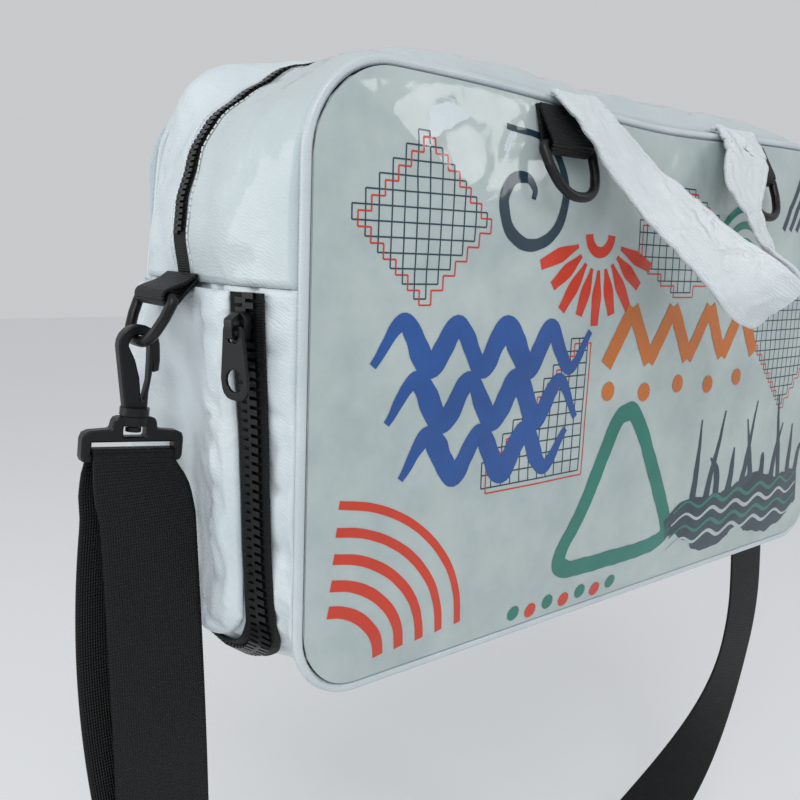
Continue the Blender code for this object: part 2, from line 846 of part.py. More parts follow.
def build_pocket_panel():
    """The pocket's outer wall, which puffs out between its zip, the seam and the back edge."""
    edge = zip_inner_edge(2 * SEAT_GAP)
    shares = [row[0] for row in POCKET_SECTION]
    ups = [0.0, 0.03, 0.08, 0.15, 0.25, 0.37, 0.50, 0.63, 0.75, 0.85, 0.92, 0.97, 1.0]
    rows = [[pocket_point(across, up, edge) for across in shares] for up in ups]
    shell("pocket_panel", rows, CLOTH_THICKNESS, white_cloth())


def pocket_slider_frame():
    """Place of the pocket slider on its zip: origin, back, up and outward directions."""
    station = station_at_height(POCKET_SLIDER_HEIGHT)
    point, back, up, out = skin_frame(station, POCKET_ZIP_INSET / BAG_DEPTH)
    teeth = ZIP_TAPE_THICKNESS + ZIP_TEETH_HEIGHT
    return point + out * (teeth + 4 * SEAT_GAP), back, up, out


def puller_axis_point():
    """Where the puller's eye turns, under the crown of the pocket slider."""
    origin, _, _, out = pocket_slider_frame()
    return origin + out * (SLIDER_HEIGHT + SLIDER_CROWN * 0.45)


def build_pocket_slider():
    """Slider body with an arched crown over the puller's eye."""
    origin, back, up, out = pocket_slider_frame()
    length, height = SLIDER_LENGTH / 2, SLIDER_HEIGHT
    crown = SLIDER_HEIGHT + SLIDER_CROWN
    wall = 0.0012
    outline = rounded(
        (
            (0.0, -length, 0.0012),
            (height, -length, 0.0016),
            (height, -length * 0.80, 0.0),
            (crown + wall, -length * 0.66, 0.0014),
            (crown + wall, length * 0.62, 0.0016),
            (height, length, 0.0014),
            (0.0, length, 0.0012),
        ),
        steps=2,
    )
    eye = rounded(
        (
            (height + 0.0001, -length * 0.58, 0.0),
            (crown, -length * 0.46, 0.0008),
            (crown, length * 0.42, 0.0008),
            (height + 0.0001, length * 0.56, 0.0),
        ),
        steps=1,
    )
    frame = axes_frame(origin, out, up)
    crown_width = SLIDER_WIDTH * 0.42
    mesh = plate("pocket_slider", [outline, eye], crown_width, frame, bevel=0.0)
    part = place(mesh, "pocket_slider", black_plastic())
    shield = rounded(
        (
            (-SLIDER_WIDTH / 2, length, 0.003),
            (-SLIDER_WIDTH * 0.36, -length, 0.003),
            (SLIDER_WIDTH * 0.36, -length, 0.003),
            (SLIDER_WIDTH / 2, length, 0.003),
        ),
        steps=2,
    )
    body_frame = axes_frame(origin + out * height / 2, back, up)
    body = plate("slider_body", [shield], height - 0.0004, body_frame)
    combine(part, body, "slider_body", "UNION")


def build_pocket_puller():
    """Flat tapered puller with an eye at the crown and a large hole at its foot."""
    _, back, up, out = pocket_slider_frame()
    pin = puller_axis_point()
    half = PULLER_WIDTH / 2
    top = half * 0.66
    eye_half = SLIDER_WIDTH * 0.21 + 2.5 * SEAT_GAP
    outline = rounded(
        (
            (-top, PULLER_BAR / 2, 0.0016),
            (-half, -PULLER_LENGTH + half, 0.0),
            (-half * 0.86, -PULLER_LENGTH, half * 0.72),
            (half * 0.86, -PULLER_LENGTH, half * 0.72),
            (half, -PULLER_LENGTH + half, 0.0),
            (top, PULLER_BAR / 2, 0.0016),
        )
    )
    eye = rounded(
        (
            (-eye_half, -PULLER_BAR / 2 - PULLER_EYE_LENGTH, 0.0012),
            (eye_half, -PULLER_BAR / 2 - PULLER_EYE_LENGTH, 0.0012),
            (eye_half, -PULLER_BAR / 2, 0.0),
            (-eye_half, -PULLER_BAR / 2, 0.0),
        ),
        steps=2,
    )
    hole = circle(0.0, -PULLER_LENGTH + half * 1.02, PULLER_HOLE_RADIUS)
    frame = axes_frame(pin, back, up)
    mesh = plate("pocket_puller", [outline, eye, hole], PULLER_THICKNESS, frame, bevel=0.0)
    place(mesh, "pocket_puller", black_plastic())
    hinge_origin("pocket_puller", pin)


def side_ring_bar(side):
    """Middle of the straight bar of a side ring."""
    seam = skin(3.0, 0.5, side=side)
    return seam + Vector((side * SIDE_RING_REACH, 0.0, -SIDE_RING_DROP))


def build_side_tab(name, side):
    """Webbing folded over the ring's bar, both ends in the side seam."""
    bar = side_ring_bar(side)
    root = skin(3.0, 0.5, side=side) + Vector((side * 0.0012, 0.0, 0.0))
    wrap = SIDE_RING_WIRE / 2 + 2 * SEAT_GAP + WEBBING_THICKNESS / 2
    ply = WEBBING_THICKNESS / 2 + SEAT_GAP
    upper = root + Vector((0.0, 0.0, 3 * ply + 0.0002))
    lower = root + Vector((0.0, 0.0, ply - 0.0002))
    path = [upper, root.lerp(bar, 0.45) + Vector((0.0, 0.0, wrap * 0.70))]
    for degrees in (75, 35, 0, -35, -70, -105, -140):
        angle = math.radians(degrees)
        spoke = Vector((side * math.cos(angle), 0.0, math.sin(angle)))
        path.append(bar + spoke * wrap)
    path.append(lower.lerp(bar, 0.40) + Vector((0.0, 0.0, -wrap * 0.55)))
    path.append(lower)
    points = [spline_point(path, k / 22) for k in range(23)]
    half = TAB_WIDTH / 2
    rows = [[point + Vector((0.0, y, 0.0)) for y in (-half, half)] for point in points]
    shell(name, rows, WEBBING_THICKNESS, black_webbing(), offset=0.0)


def ring_points(width, height, foot_share, corner, steps=3):
    """Middle line of a ring: a straight bar at the top and a narrower rounded foot."""
    half = width / 2
    corners = (
        (-half, 0.0, 0.0035),
        (half, 0.0, 0.0035),
        (half * lerp(1.0, foot_share, 0.25), -height * 0.45, 0.012),
        (half * foot_share, -height, corner),
        (-half * foot_share, -height, corner),
        (-half * lerp(1.0, foot_share, 0.25), -height * 0.45, 0.012),
    )
    return rounded(corners, steps)


def build_side_ring(name, side):
    """Ring that hangs from the tab, leaning out with the hook's pull."""
    bar = side_ring_bar(side)
    width = TAB_WIDTH + SIDE_RING_WIRE + RING_PLAY
    down = Vector((side * math.sin(SIDE_RING_LEAN), 0.0, -math.cos(SIDE_RING_LEAN)))
    outline = ring_points(width, SIDE_RING_HEIGHT, 0.62, 0.010, steps=2)
    points = [bar + Vector((0.0, p.x, 0.0)) - down * p.y for p in outline]
    tube(name, points, SIDE_RING_WIRE / 2, black_plastic())


def hook_eye(side):
    """Middle of the hook's eye, which hangs on the foot of the ring."""
    lean = SIDE_RING_HEIGHT
    foot = side_ring_bar(side) + Vector(
        (side * lean * math.sin(SIDE_RING_LEAN), 0.0, -lean * math.cos(SIDE_RING_LEAN))
    )
    slack = HOOK_EYE_RADIUS - SIDE_RING_WIRE / 2 - SEAT_GAP
    return foot + Vector((0.0, 0.0, -slack))


def swivel_axis(side):
    """Point on the hook's swivel axis at the height of its eye."""
    return hook_eye(side) + Vector((side * HOOK_SHIFT, 0.0, 0.0))


def hook_frame(side):
    """Frame of a hook: x towards the bag, y up, from the swivel axis at the eye's height."""
    return axes_frame(swivel_axis(side), Vector((-side, 0.0, 0.0)), Vector((0.0, 0.0, 1.0)))


def arc(x, y, radius, start, end, steps):
    """Points of an arc between two angles in degrees."""
    angles = [math.radians(lerp(start, end, k / steps)) for k in range(steps + 1)]
    return [Vector((x + radius * math.cos(a), y + radius * math.sin(a))) for a in angles]


def build_hook(name, side):
    """Snap hook in one piece: spine, eye, nose and closed gate, on a turned collar and pin."""
    eye_x = HOOK_SHIFT
    outer = HOOK_EYE_RADIUS + HOOK_WIRE
    low = -HOOK_LENGTH
    nose = eye_x + outer
    outline = [
        Vector((-0.0060, low)),
        Vector((-0.0072, low * 0.5)),
        *arc(eye_x, 0.0, outer, 180.0, 0.0, 10),
        Vector((nose, low * 0.24)),
        Vector((nose - 0.0008, low * 0.40)),
        Vector((nose - 0.0036, low * 0.42)),
        Vector((nose - 0.0038, low * 0.34)),
        Vector((nose - 0.0046, low * 0.48)),
        Vector((nose - 0.0064, low * 0.74)),
        Vector((0.0056, low)),
    ]
    hole = [
        *arc(eye_x, 0.0, HOOK_EYE_RADIUS, 180.0, 0.0, 8),
        Vector((eye_x + HOOK_EYE_RADIUS * 0.94, low * 0.24)),
        Vector((0.0064, low * 0.54)),
        Vector((0.0036, low * 0.84)),
        Vector((0.0024, low * 0.85)),
        Vector((0.0018, low * 0.50)),
        Vector((-0.0002, low * 0.22)),
    ]
    mesh = plate(name, [outline, hole], HOOK_THICKNESS, hook_frame(side), bevel=0.0008)
    part = place(mesh, name, black_plastic())
    axis = swivel_axis(side)
    lift = base_up(side)
    root = axis + Vector((0.0, 0.0, low))
    collar_low = root - lift * COLLAR_HEIGHT
    collar = cylinder_mesh("collar", COLLAR_RADIUS, collar_low, root + lift * 0.0014)
    combine(part, collar, f"{name}_collar", "UNION")
    head_top = collar_low - lift * (BOSS_HEIGHT + 3 * SWIVEL_CLEARANCE)
    head_low = head_top - lift * (WINDOW_HEIGHT * 0.42)
    pin_low = head_top - lift * 0.0010
    pin = cylinder_mesh("pin", SWIVEL_PIN_RADIUS, pin_low, collar_low + lift * 0.0010, 12)
    combine(part, pin, f"{name}_pin", "UNION")
    head = cylinder_mesh("head", SWIVEL_PIN_RADIUS + 0.0014, head_low, head_top, 12)
    combine(part, head, f"{name}_head", "UNION")


def base_up(side):
    """Upward direction of a hook's base, which hangs at a small tilt."""
    return Vector((-side * math.sin(BASE_TILT), 0.0, math.cos(BASE_TILT)))


def base_frame(side):
    """Frame of a hook's base: x towards the bag, y up, from the middle of its top edge."""
    up = base_up(side)
    root = swivel_axis(side) - Vector((0.0, 0.0, HOOK_LENGTH))
    towards = Vector((-side * math.cos(BASE_TILT), 0.0, -math.sin(BASE_TILT)))
    return axes_frame(root - up * (COLLAR_HEIGHT + SWIVEL_CLEARANCE), towards, up)


def slot_bar_middle(side):
    """Middle of the bar at the foot of the hook's base, which the strap is folded over."""
    return base_frame(side) @ Vector((0.0, -SLOT_DROP - SLOT_HEIGHT - SLOT_BAR / 2, 0.0))


def box_outline(left, right, low, high, radius, steps=1):
    """Outline of a box with rounded corners."""
    corners = ((left, low), (right, low), (right, high), (left, high))
    return rounded([(x, y, radius) for x, y in corners], steps)


def build_hook_base(name, side):
    """T-shaped swivel base with a boss, a window for the pin's head and a slot for the strap."""
    inner = SLOT_WIDTH / 2
    outer = inner + BASE_SIDE_BAR
    neck = BASE_NECK / 2
    slot_low = -SLOT_DROP - SLOT_HEIGHT
    foot = slot_low - SLOT_BAR
    outline = rounded(
        (
            (-neck, 0.0, 0.0030),
            (neck, 0.0, 0.0030),
            (neck + 0.0012, -SHOULDER_DROP * 0.85, 0.0015),
            (outer, -SHOULDER_DROP, 0.0040),
            (outer, foot, 0.0030),
            (-outer, foot, 0.0030),
            (-outer, -SHOULDER_DROP, 0.0040),
            (-neck - 0.0012, -SHOULDER_DROP * 0.85, 0.0015),
        ),
        steps=2,
    )
    slot = box_outline(-inner, inner, slot_low, -SLOT_DROP, 0.0)
    window_low = -BOSS_HEIGHT - WINDOW_HEIGHT
    half_window = WINDOW_WIDTH / 2
    window = box_outline(-half_window, half_window, window_low, -BOSS_HEIGHT, 0.0008)
    frame = base_frame(side)
    mesh = plate(name, [outline, slot, window], BASE_THICKNESS, frame, bevel=0.0008)
    part = place(mesh, name, black_plastic())
    low, high = Vector((0.0, 0.0, -BOSS_HEIGHT + 0.0002)), Vector((0.0, 0.0, 0.0001))
    boss = cylinder_mesh("boss", BOSS_RADIUS, low, high)
    bore_room = SWIVEL_PIN_RADIUS + SWIVEL_CLEARANCE
    bore = cylinder_mesh("bore", bore_room, low - Vector((0.0, 0.0, 0.002)), high * 20.0, 12)
    upright = frame @ Matrix.Rotation(-math.pi / 2, 4, "X")
    for tool, word, operation in ((boss, "boss", "UNION"), (bore, "bore", "DIFFERENCE")):
        tool.transform(upright)
        combine(part, tool, f"{name}_{word}", operation)


def strap_angle(share, power):
    """Lean of the hanging strap from the vertical, from a hook to the lowest point."""
    curved = max(0.0, (share - STRAP_STRAIGHT) / (1.0 - STRAP_STRAIGHT))
    return lerp(STRAP_LEAN, math.pi / 2, curved**power)


def strap_power():
    """Power that makes a strap of STRAP_LENGTH reach from hook to hook."""
    reach = abs(slot_bar_middle(-1).x)
    steps = 200
    low, high = 0.3, 12.0
    for _ in range(40):
        power = (low + high) / 2
        total = sum(math.sin(strap_angle((k + 0.5) / steps, power)) for k in range(steps))
        if total * STRAP_LENGTH / 2 / steps > reach:
            low = power
        else:
            high = power
    return (low + high) / 2


def hanging_run(count):
    """Stations of the left half of the hanging strap: arc share, point and tangent."""
    power = strap_power()
    ply = BASE_THICKNESS / 2 + 3 * SEAT_GAP + WEBBING_THICKNESS / 2
    bar = slot_bar_middle(-1)
    fine = 20
    step = STRAP_LENGTH / 2 / (count * fine)
    x, z = bar.x, bar.z
    run = []
    for k in range(count * fine + 1):
        share = k / (count * fine)
        angle = strap_angle(share, power)
        if k % fine == 0:
            forward = STRAP_FORWARD * math.sin(math.pi * share) * (1.0 - share**3)
            y = -ply * (1.0 - share) ** 2 - forward
            tangent = Vector((math.sin(angle), 0.0, -math.cos(angle)))
            drift = STRAP_DRIFT * min(1.0, share * STRAP_LENGTH / 2 / 0.032) ** 0.8
            run.append((share, Vector((x + drift * (1.0 - share), y, z)), tangent))
        middle = strap_angle(share + 0.5 / (count * fine), power)
        x += math.sin(middle) * step
        z -= math.cos(middle) * step
    shift = run[-1][1].x
    return [(share, point - Vector((shift * share, 0.0, 0.0)), tangent) for share, point, tangent in run]


def strap_across(share, tangent):
    """Direction across the strap's width, turning from X at the hook to Y at the bottom."""
    doubled = DOUBLED_LENGTH / (STRAP_LENGTH / 2)
    turn = max(0.0, min(1.0, (share - doubled) / (0.92 - doubled)))
    twist = 0.5 * math.pi * turn * turn * (3.0 - 2.0 * turn)
    in_plane = Vector((-tangent.z, 0.0, tangent.x))
    return in_plane * math.cos(twist) + Vector((0.0, 1.0, 0.0)) * math.sin(twist)


def pinched(length):
    """Width of the strap at a length from the slot bar, which squeezes it."""
    return lerp(PINCHED_WIDTH, STRAP_WIDTH, min(1.0, length / PINCH_LENGTH) ** 0.7)


def bar_fold(side, count=8):
    """Points over the top of the slot bar, from the back ply to the front ply."""
    bar = slot_bar_middle(side)
    ply = BASE_THICKNESS / 2 + 3 * SEAT_GAP + WEBBING_THICKNESS / 2
    rise = SLOT_BAR / 2 + 4 * SEAT_GAP + WEBBING_THICKNESS / 2
    points = []
    for k in range(count + 1):
        angle = math.pi * k / count
        squared = abs(math.cos(angle)) ** 0.5 * math.copysign(1.0, math.cos(angle))
        lift = base_up(side) * rise * max(0.0, math.sin(angle)) ** 0.5
        points.append(bar + Vector((0.0, ply * squared, 0.0)) + lift)
    return points


def return_ply(length, slack, skew, count):
    """Shares and points of the back ply from its loose end up to the bar on the left side."""
    run = hanging_run(60)
    half = STRAP_LENGTH / 2
    ply = BASE_THICKNESS / 2 + 3 * SEAT_GAP + WEBBING_THICKNESS / 2
    near = WEBBING_THICKNESS + 4 * SEAT_GAP
    joined = 0.86
    points = []
    for k in range(count):
        share = lerp(length / half, 0.012, k / (count - 1))
        index = min(int(share * 60), 59)
        part = share * 60 - index
        front = run[index][1].lerp(run[index + 1][1], part)
        down = min(1.0, share * half / length / joined)
        belly = math.sin(math.pi * down) ** 0.8 if down < 1.0 else 0.0
        behind = lerp(2 * ply, near, down**1.3) + slack * belly
        behind += 0.0016 * max(0.0, 1.0 - share * half / 0.030)
        points.append((share, front + Vector((-skew * belly, behind, 0.0))))
    return points


def build_strap():
    """The strap: doubled at its left end, hanging in a loop, and sewn back at its right end."""
    half = STRAP_LENGTH / 2
    skewed = Vector((math.cos(BASE_TILT), 0.0, -math.sin(BASE_TILT)))
    x_axis = Vector((1.0, 0.0, 0.0))
    hanging = []
    run = hanging_run(60)
    for share, point, tangent in run[1:5] + run[6::2]:
        width = pinched(share * half)
        level = 1.0 - min(1.0, share * half / PINCH_LENGTH)
        across = strap_across(share, tangent).lerp(skewed, level).normalized()
        hanging.append((point, across, width))
    back = []
    for share, point in return_ply(DOUBLED_LENGTH + RETURN_TAIL, PLY_SLACK, PLY_SKEW, 15):
        back.append((point, x_axis, pinched(share * half)))
    stations = back + [(point, skewed, PINCHED_WIDTH) for point in bar_fold(-1)] + hanging
    mirrored = []
    for point, across, width in reversed(hanging[:-1]):
        flipped = Vector((across.x, -across.y, -across.z))
        mirrored.append((Vector((-point.x, point.y, point.z)), flipped, width))
    unskewed = Vector((skewed.x, 0.0, -skewed.z))
    mirrored += [(point, unskewed, PINCHED_WIDTH) for point in reversed(bar_fold(1))]
    for share, point in reversed(return_ply(SEWN_END, 0.0, 0.0, 4)):
        mirrored.append((Vector((-point.x, point.y, point.z)), x_axis, pinched(share * half)))
    stations = untwist(stations + mirrored)
    rows = [[p - across * w / 2, p + across * w / 2] for p, across, w in stations]
    shell("shoulder_strap", rows, WEBBING_THICKNESS, black_webbing(), offset=0.0)


def untwist(stations):
    """Flips each across direction that points against the one before it."""
    kept = [stations[0]]
    for point, across, width in stations[1:]:
        if across.dot(kept[-1][1]) < 0.0:
            across = -across
        kept.append((point, across, width))
    return kept


def build_keeper():
    """Keeper that holds the strap's two plies together at the end of its doubled stretch."""
    run = hanging_run(60)
    index = int(DOUBLED_LENGTH / (STRAP_LENGTH / 2) * 60)
    _, point, tangent = run[index]
    tangent = (run[index + 1][1] - run[index - 1][1]).normalized()
    across = Vector((-tangent.z, 0.0, tangent.x)).normalized()
    behind = tangent.cross(across)
    behind = behind if behind.y > 0.0 else -behind
    plies = 2 * WEBBING_THICKNESS + 4 * SEAT_GAP
    room = 4 * SEAT_GAP
    half_width = STRAP_WIDTH / 2 + 2 * room
    half_depth = plies / 2 + room
    middle = point + behind * (WEBBING_THICKNESS + 4 * SEAT_GAP) / 2
    wall = KEEPER_WALL
    outer = rounded(
        (
            (-half_width - wall, -half_depth - wall, 0.002),
            (half_width + wall, -half_depth - wall, 0.002),
            (half_width + wall, half_depth + wall, 0.002),
            (-half_width - wall, half_depth + wall, 0.002),
        )
    )
    inner = rounded(
        (
            (-half_width, -half_depth, 0.0),
            (half_width, -half_depth, 0.0),
            (half_width, half_depth, 0.0),
            (-half_width, half_depth, 0.0),
        )
    )
    frame = axes_frame(middle, across, behind)
    mesh = plate("strap_keeper", [outer, inner], KEEPER_HEIGHT, frame, bevel=0.0)
    place(mesh, "strap_keeper", black_plastic())


def top_height(x):
    """Height of the panel's top edge at this place along the bag."""
    return rim(6.0 - min(1.0, abs(x) / (HALF_LENGTH - TOP_CORNER_RADIUS)))[0].y


def front_face(x, z):
    """How far the film's face stands in front of the outline plane at this place."""
    middle = (BASE_DROP + BAG_HEIGHT) / 2
    reach = max(abs(x) / HALF_LENGTH, abs(z - middle) / (top_height(x) - middle))
    face = CLOTH_THICKNESS / 2 + SEAT_GAP + FILM_THICKNESS
    return face + PANEL_CROWN * (1.0 - min(1.0, reach) ** 4)


def front_ring_bar(side):
    """Middle of the straight bar of a front ring."""
    x = side * (HALF_LENGTH - FRONT_TAB_PLACE)
    z = BAG_HEIGHT - FRONT_TAB_DROP
    wrap = FRONT_RING_WIRE / 2 + 3 * SEAT_GAP + WEBBING_THICKNESS
    return Vector((x, -HALF_DEPTH - front_face(x, z) - FRONT_TAB_STAND - wrap, z))


def build_front_tab(name, side):
    """Webbing loop that comes from under the piping and holds a front ring."""
    bar = front_ring_bar(side)
    wrap = FRONT_RING_WIRE / 2 + 3 * SEAT_GAP + WEBBING_THICKNESS / 2
    ply = WEBBING_THICKNESS / 2
    top = top_height(bar.x) - EDGE_INSET - SEAT_GAP - 0.001
    root = Vector((bar.x, -HALF_DEPTH - front_face(bar.x, top) - SEAT_GAP - ply, top))
    behind = Vector((0.0, 1.0, 0.3)).normalized() * wrap
    path = [root + Vector((0.0, -0.0002, 0.0))]
    for share in (0.35, 0.7):
        path.append(root.lerp(bar + behind, share) + Vector((0.0, -0.0006, 0.0)))
    for degrees in (20, -30, -80, -130, -175, -215):
        angle = math.radians(degrees)
        path.append(bar + Vector((0.0, math.cos(angle), math.sin(angle))) * wrap)
    fold = Vector((0.0, -2 * ply - 3 * SEAT_GAP, 0.0))
    before = bar + Vector((0.0, -math.cos(math.radians(35)), math.sin(math.radians(35)))) * wrap
    for share in (0.62, 0.30, 0.0):
        path.append((root + fold).lerp(before, share))
    points = [spline_point(path, k / 22) for k in range(23)]
    half = FRONT_TAB_WIDTH / 2
    rows = [[point + Vector((x, 0.0, 0.0)) for x in (-half, half)] for point in points]
    shell(name, rows, WEBBING_THICKNESS, black_webbing(), offset=0.0)


def build_front_ring(name, side):
    """D-shaped ring that hangs in a front tab."""
    bar = front_ring_bar(side)
    width = FRONT_TAB_WIDTH + FRONT_RING_WIRE + RING_PLAY
    down = Vector((0.0, -math.sin(FRONT_RING_LEAN), -math.cos(FRONT_RING_LEAN)))
    outline = ring_points(width, FRONT_RING_HEIGHT, 0.60, 0.0105, steps=2)
    points = [bar + Vector((p.x, 0.0, 0.0)) - down * p.y for p in outline]
    tube(name, points, FRONT_RING_WIRE / 2, black_plastic())
    hinge_origin(name, bar)


def handle_rows(face):
    """Rows of points of a handle. Face is -1 for the front one and 1 for the back one."""
    middles = []
    across = []
    for step, out, down, right, forward, up in HANDLE_PATH:
        x = -HANDLE_SPREAD / 2 * (1.0 - step)
        y = HALF_DEPTH + HANDLE_STAND * out
        middles.append(Vector((x, face * y, BAG_HEIGHT - HANDLE_DROP * down)))
        across.append(Vector((right, face * forward, up)))
    count = 17
    stations = []
    for k in range(count + 1):
        share = k / count
        point = spline_point(middles, share)
        ahead = spline_point(middles, min(1.0, share + 0.01))
        behind = spline_point(middles, max(0.0, share - 0.01))
        tangent = (ahead - behind).normalized()
        wide = spline_point(across, share)
        wide = (wide - tangent * wide.dot(tangent)).normalized()
        stations.append((point, wide))
    mirrored = []
    for point, wide in reversed(stations[:-1]):
        flipped = Vector((-point.x, point.y, point.z))
        mirrored.append((flipped, Vector((-wide.x, wide.y, wide.z))))
    half = HANDLE_WIDTH / 2
    shares = (-1.0, -0.34, 0.34, 1.0)
    rows = [[point + wide * half * s for s in shares] for point, wide in stations + mirrored]
    return rows


def build_handles():
    """A soft band handle on each long face, sewn in over the piping and fallen outwards."""
    for name, face in (("front_handle", -1), ("back_handle", 1)):
        shell(name, handle_rows(face), HANDLE_THICKNESS, white_cloth(), offset=0.0)


def build_side_hardware():
    """Tab, ring, hook and base at each end of the bag."""
    for word, side in (("left", -1), ("right", 1)):
        build_side_tab(f"{word}_tab", side)
        build_side_ring(f"{word}_ring", side)
        build_hook(f"{word}_hook", side)
        build_hook_base(f"{word}_hook_base", side)


def build_front_hardware():
    """Tab and ring under each root of the front handle."""
    for word, side in (("left", -1), ("right", 1)):
        build_front_tab(f"front_tab_{word}", side)
        build_front_ring(f"front_ring_{word}", side)


def main():
    clear_scene()
    build_panels()
    build_piping()
    build_bands()
    build_main_zip()
    build_main_slider()
    build_pocket_zip()
    build_pocket_panel()
    build_pocket_slider()
    build_pocket_puller()
    build_side_hardware()
    build_strap()
    build_keeper()
    build_front_hardware()
    build_handles()
    bpy.context.view_layer.update()


main()
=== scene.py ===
"""Swim bag with a printed, film-covered front, an end pocket and a hooked-on shoulder strap."""

import logging
import math
from collections.abc import Callable, Iterable, Iterator, Sequence
from contextlib import contextmanager
from dataclasses import dataclass, field
from enum import IntEnum

import bmesh
import bpy
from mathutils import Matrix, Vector, noise


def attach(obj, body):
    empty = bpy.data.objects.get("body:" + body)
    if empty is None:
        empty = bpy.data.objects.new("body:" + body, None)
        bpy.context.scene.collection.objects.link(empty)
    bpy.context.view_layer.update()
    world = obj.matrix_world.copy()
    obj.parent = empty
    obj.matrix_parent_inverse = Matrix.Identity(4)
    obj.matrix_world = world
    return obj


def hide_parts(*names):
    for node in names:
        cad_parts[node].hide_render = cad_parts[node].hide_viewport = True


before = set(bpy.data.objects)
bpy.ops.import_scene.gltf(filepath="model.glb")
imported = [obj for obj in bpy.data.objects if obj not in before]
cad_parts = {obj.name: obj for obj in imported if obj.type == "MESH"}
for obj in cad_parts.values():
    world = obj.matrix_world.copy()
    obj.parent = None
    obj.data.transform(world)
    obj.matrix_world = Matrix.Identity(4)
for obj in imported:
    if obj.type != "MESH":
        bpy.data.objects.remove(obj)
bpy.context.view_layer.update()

LOG = logging.getLogger("swim_bag")
MM = 0.001
SEAM, TOP = 3.0, 6.0
ACROSS, DEEP = Vector((1.0, 0.0, 0.0)), Vector((0.0, 1.0, 0.0))
Node, Socket, Tree = bpy.types.Node, bpy.types.NodeSocket, bpy.types.NodeTree
Piece = bpy.types.Object
Rows = list[list[Vector]]
Spots = list[tuple[Vector, Vector, Vector]]


class Side(IntEnum):
    """Half of the bag, as the sign of its X."""

    LEFT = -1
    RIGHT = 1


class Face(IntEnum):
    """Main panel of the bag, as the sign of its Y."""

    FRONT = -1
    BACK = 1


def lerp(a: float, b: float, share: float) -> float:
    """Value at a share of the way from a to b."""
    return a + (b - a) * share


def ease(share: float) -> float:
    """Smooth step from 0 to 1."""
    share = max(0.0, min(1.0, share))
    return share * share * (3.0 - 2.0 * share)


def table_value(table: Sequence[Sequence[float]], place: float) -> float:
    """Reads the second column of a table sorted by its first, with half-eased steps."""
    if place <= table[0][0]:
        return table[0][1]
    for low, high in zip(table, table[1:]):
        if place <= high[0]:
            share = (place - low[0]) / (high[0] - low[0])
            return lerp(low[1], high[1], lerp(share, ease(share), 0.5))
    return table[-1][1]


def spline_point(points: Sequence[Vector], share: float) -> Vector:
    """Point at a share of a smooth curve through all the given points."""
    spans = len(points) - 1
    index = min(int(share * spans), spans - 1)
    t = share * spans - index
    p1, p2 = points[index], points[index + 1]
    p0 = points[index - 1] if index else p1 * 2 - p2
    p3 = points[index + 2] if index + 2 <= spans else p2 * 2 - p1
    bend = (p0 * 2 - p1 * 5 + p2 * 4 - p3) * t * t
    return (p1 * 2 + (p2 - p0) * t + bend + (p1 * 3 - p0 - p2 * 3 + p3) * t * t * t) * 0.5


def spline_run(points: Sequence[Vector], share: float, step: float) -> Vector:
    """Way from a step before a share of the curve to a step after it."""
    return spline_point(points, min(1.0, share + step)) - spline_point(points, max(0.0, share - step))


def mirrored(vector: Vector) -> Vector:
    """The same place or direction in the other half of the bag."""
    return Vector((-vector.x, vector.y, vector.z))


def outward(flat: Vector, side: int) -> Vector:
    """An outward direction of the left outline, in space, for one half of the bag."""
    return Vector((flat.x * -side, 0.0, flat.y))


def ripple(x: float, y: float, z: float, size: float) -> float:
    """Soft noise from about -1 to 1, with waves of about the given size."""
    return noise.noise(Vector((x, y, z)) / size)


def crease(x: float, y: float, z: float, size: float, sharp: float = 7.0) -> float:
    """Sharp ridges from 0 to 1 where stiff cloth has been creased."""
    return (1.0 - abs(noise.noise(Vector((x, y, z)) / size))) ** sharp


@dataclass(frozen=True)
class Cut:
    """Sizes the cloth is cut to, in metres."""

    length: float = 0.500
    height: float = 0.3085
    depth: float = 0.180
    top_radius: float = 0.046
    bottom_radius: float = 0.034
    seam: float = 0.2035
    base_drop: float = 0.0029
    top_sag: float = 0.007
    side_bulge: float = 0.019
    pocket_sag: float = 0.009
    corner_tuck: float = 0.0085
    back_tuck: float = 0.009
    crown: float = 0.009
    cloth: float = 0.0016
    film: float = 0.0005
    piping: float = 0.0026
    gap: float = 0.0003
    zip_width: float = 0.015
    webbing: float = 0.0015

    @property
    def half_length(self) -> float:
        """Half of the length."""
        return self.length / 2

    @property
    def half_depth(self) -> float:
        """Half of the depth."""
        return self.depth / 2

    @property
    def inset(self) -> float:
        """How far the cloth's edge lies inside the outline."""
        return self.piping + self.gap

    @property
    def middle(self) -> float:
        """Height of the main panels' middle."""
        return (self.base_drop + self.height) / 2


BAND_BULGE = (
    (1.00, 0.00), (2.00, 0.20), (2.50, 0.50), (3.00, 0.84), (3.38, 1.00), (3.67, 0.92),
    (4.00, 0.62), (4.25, 0.30), (4.50, 0.03), (4.75, 0.05), (5.00, 0.46), (5.14, 0.88),
    (5.32, 1.02), (5.60, 1.12), (6.00, 1.20),
)
BAND_EDGE = ((1.00, 0.16), (2.00, 0.60), (4.00, 0.60), (5.00, 0.42), (6.00, 0.36))
BACK_BULGE = (
    (3.00, 0.00), (3.60, -0.10), (4.00, -0.22), (4.25, 0.10), (4.50, 0.72), (4.75, 0.82),
    (5.00, 0.50), (5.30, 0.16), (6.00, 0.00),
)
BACK_LEAN = (
    (2.60, 0.00), (3.20, 0.30), (3.70, 0.80), (4.10, 1.00), (4.35, 0.80), (4.60, 0.25), (4.90, 0.00),
)
CORNER_SAG = (
    (1.00, 0.00), (1.25, 0.16), (1.50, 0.60), (1.75, 1.00), (2.00, 0.56), (2.15, 0.22), (2.40, 0.00),
)


